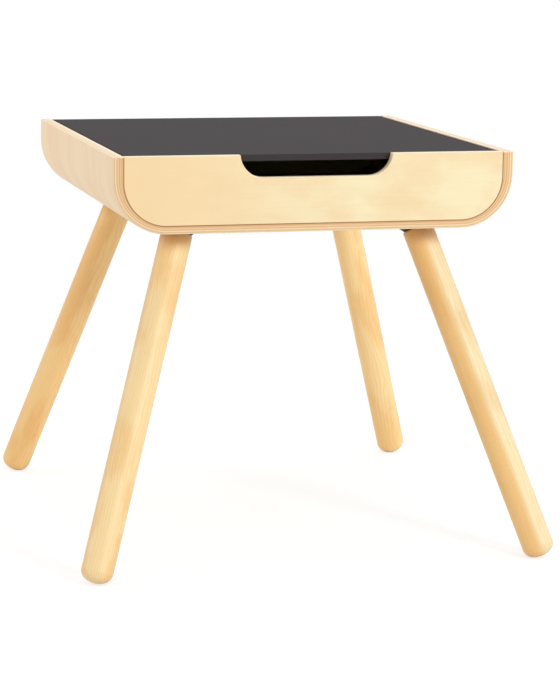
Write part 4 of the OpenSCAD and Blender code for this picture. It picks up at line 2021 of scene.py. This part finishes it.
@dataclass
class Studio:
    """The white room: floor, light and camera."""

    floor_size: float = 60.0
    floor_drop: float = 0.0002
    floor_level: float = 0.35
    floor_bounce: float = 0.9
    sky: float = 0.6
    glow: float = 0.72
    near: float = 0.75
    far: float = 1.6
    lens_px: float = 2424.64
    frame_height_px: float = 700.0
    sensor: float = 36.0
    centre_px: tuple[float, float] = (1.694, 1.017)
    eye: tuple[float, float, float] = (-0.8073, -3.03644, 0.80225)
    yaw: float = math.radians(-15.3696)
    pitch: float = math.radians(10.5606)
    roll: float = math.radians(0.7819)
    lamps: tuple[Lamp, ...] = (
        Lamp("key", (1.6, -3.6, 1.75), 0.7, 63.0),
        Lamp("left", (-3.0, 0.9, 1.3), 1.6, 22.0),
        Lamp("front_left", (-2.3, -2.7, 1.2), 1.2, 6.0),
        Lamp("right", (3.2, -0.6, 0.9), 0.9, 8.5),
        Lamp("overhead", (0.2, 0.2, 2.8), 1.6, 16.0),
    )

    def build(self) -> None:
        """Sets up the floor, the light and the camera."""
        self.add_floor()
        self.add_sky()
        for lamp in self.lamps:
            lamp.light()
        self.add_camera()
        bpy.context.scene.view_settings.view_transform = "Standard"

    def floor_finish(self) -> bpy.types.Material:
        """Builds a pale floor that keeps a shadow near the table and is white beyond it.

        Returns:
            The material.
        """
        graph = Graph.of_material("white_floor")
        x, y, _ = graph.place()
        matt = graph.node("BsdfDiffuse", Color=grey(self.floor_level))
        bounce = graph.node("BsdfDiffuse", Color=grey(self.floor_bounce))
        glow = graph.node("Emission", Strength=self.glow)
        white = graph.node("Emission", Strength=1.0)
        lit = graph.node("AddShader")
        graph.feed(lit.inputs[0], matt.outputs[0])
        graph.feed(lit.inputs[1], glow.outputs[0])
        away = graph.step(graph.distance(x, y), self.near, self.far)
        seen = graph.fade(away, lit.outputs[0], white.outputs[0])
        shown = graph.fade(graph.background_rays(), bounce.outputs[0], seen)
        graph.node("OutputMaterial", Surface=shown)
        return graph.owner

    def add_floor(self) -> None:
        """Lays the floor just under the feet."""
        shape = bmesh.new()
        bmesh.ops.create_grid(shape, x_segments=1, y_segments=1, size=self.floor_size / 2)
        bmesh.ops.translate(shape, vec=(0, 0, -self.floor_drop), verts=shape.verts)
        floor = bpy.data.objects.new("floor", as_mesh(shape, "floor"))
        bpy.context.scene.collection.objects.link(floor)
        floor.data.materials.append(self.floor_finish())

    def add_sky(self) -> None:
        """Lights the room evenly, and shows pure white behind the table."""
        world = bpy.data.worlds.new("white_room")
        graph = Graph(world)
        shown = graph.times(graph.background_rays(), 1.0 - self.sky)
        level = graph.add(self.sky, shown)
        background = graph.node("Background", Color=grey(1.0), Strength=level)
        graph.node("OutputWorld", Surface=background.outputs[0])
        bpy.context.scene.world = world

    def add_camera(self) -> None:
        """Stands the camera where the photograph was taken from."""
        data = bpy.data.cameras.new("camera")
        data.sensor_fit = "VERTICAL"
        data.sensor_height = self.sensor
        data.lens = self.lens_px / self.frame_height_px * self.sensor
        data.shift_x = -self.centre_px[0] / self.frame_height_px
        data.shift_y = self.centre_px[1] / self.frame_height_px
        forward = Vector(
            (
                -math.sin(self.yaw) * math.cos(self.pitch),
                math.cos(self.yaw) * math.cos(self.pitch),
                -math.sin(self.pitch),
            )
        )
        level = Vector((math.cos(self.yaw), math.sin(self.yaw), 0.0))
        upright = level.cross(forward)
        right = math.cos(self.roll) * level + math.sin(self.roll) * upright
        up = -math.sin(self.roll) * level + math.cos(self.roll) * upright
        camera = bpy.data.objects.new("camera", data)
        bpy.context.scene.collection.objects.link(camera)
        turn = Matrix((right, up, -forward)).transposed().to_4x4()
        camera.matrix_world = Matrix.Translation(self.eye) @ turn
        bpy.context.scene.camera = camera


def main() -> None:
    """Builds the table's looks and the studio round it."""
    logging.basicConfig(level=logging.INFO, format="%(name)s %(message)s")
    sizes = TableSizes()
    finishes = Finishes()
    for part in (Box(sizes), Lid(sizes), Legs(sizes)):
        part.build(finishes)
    Studio().build()


if __name__ == "__main__":
    main()
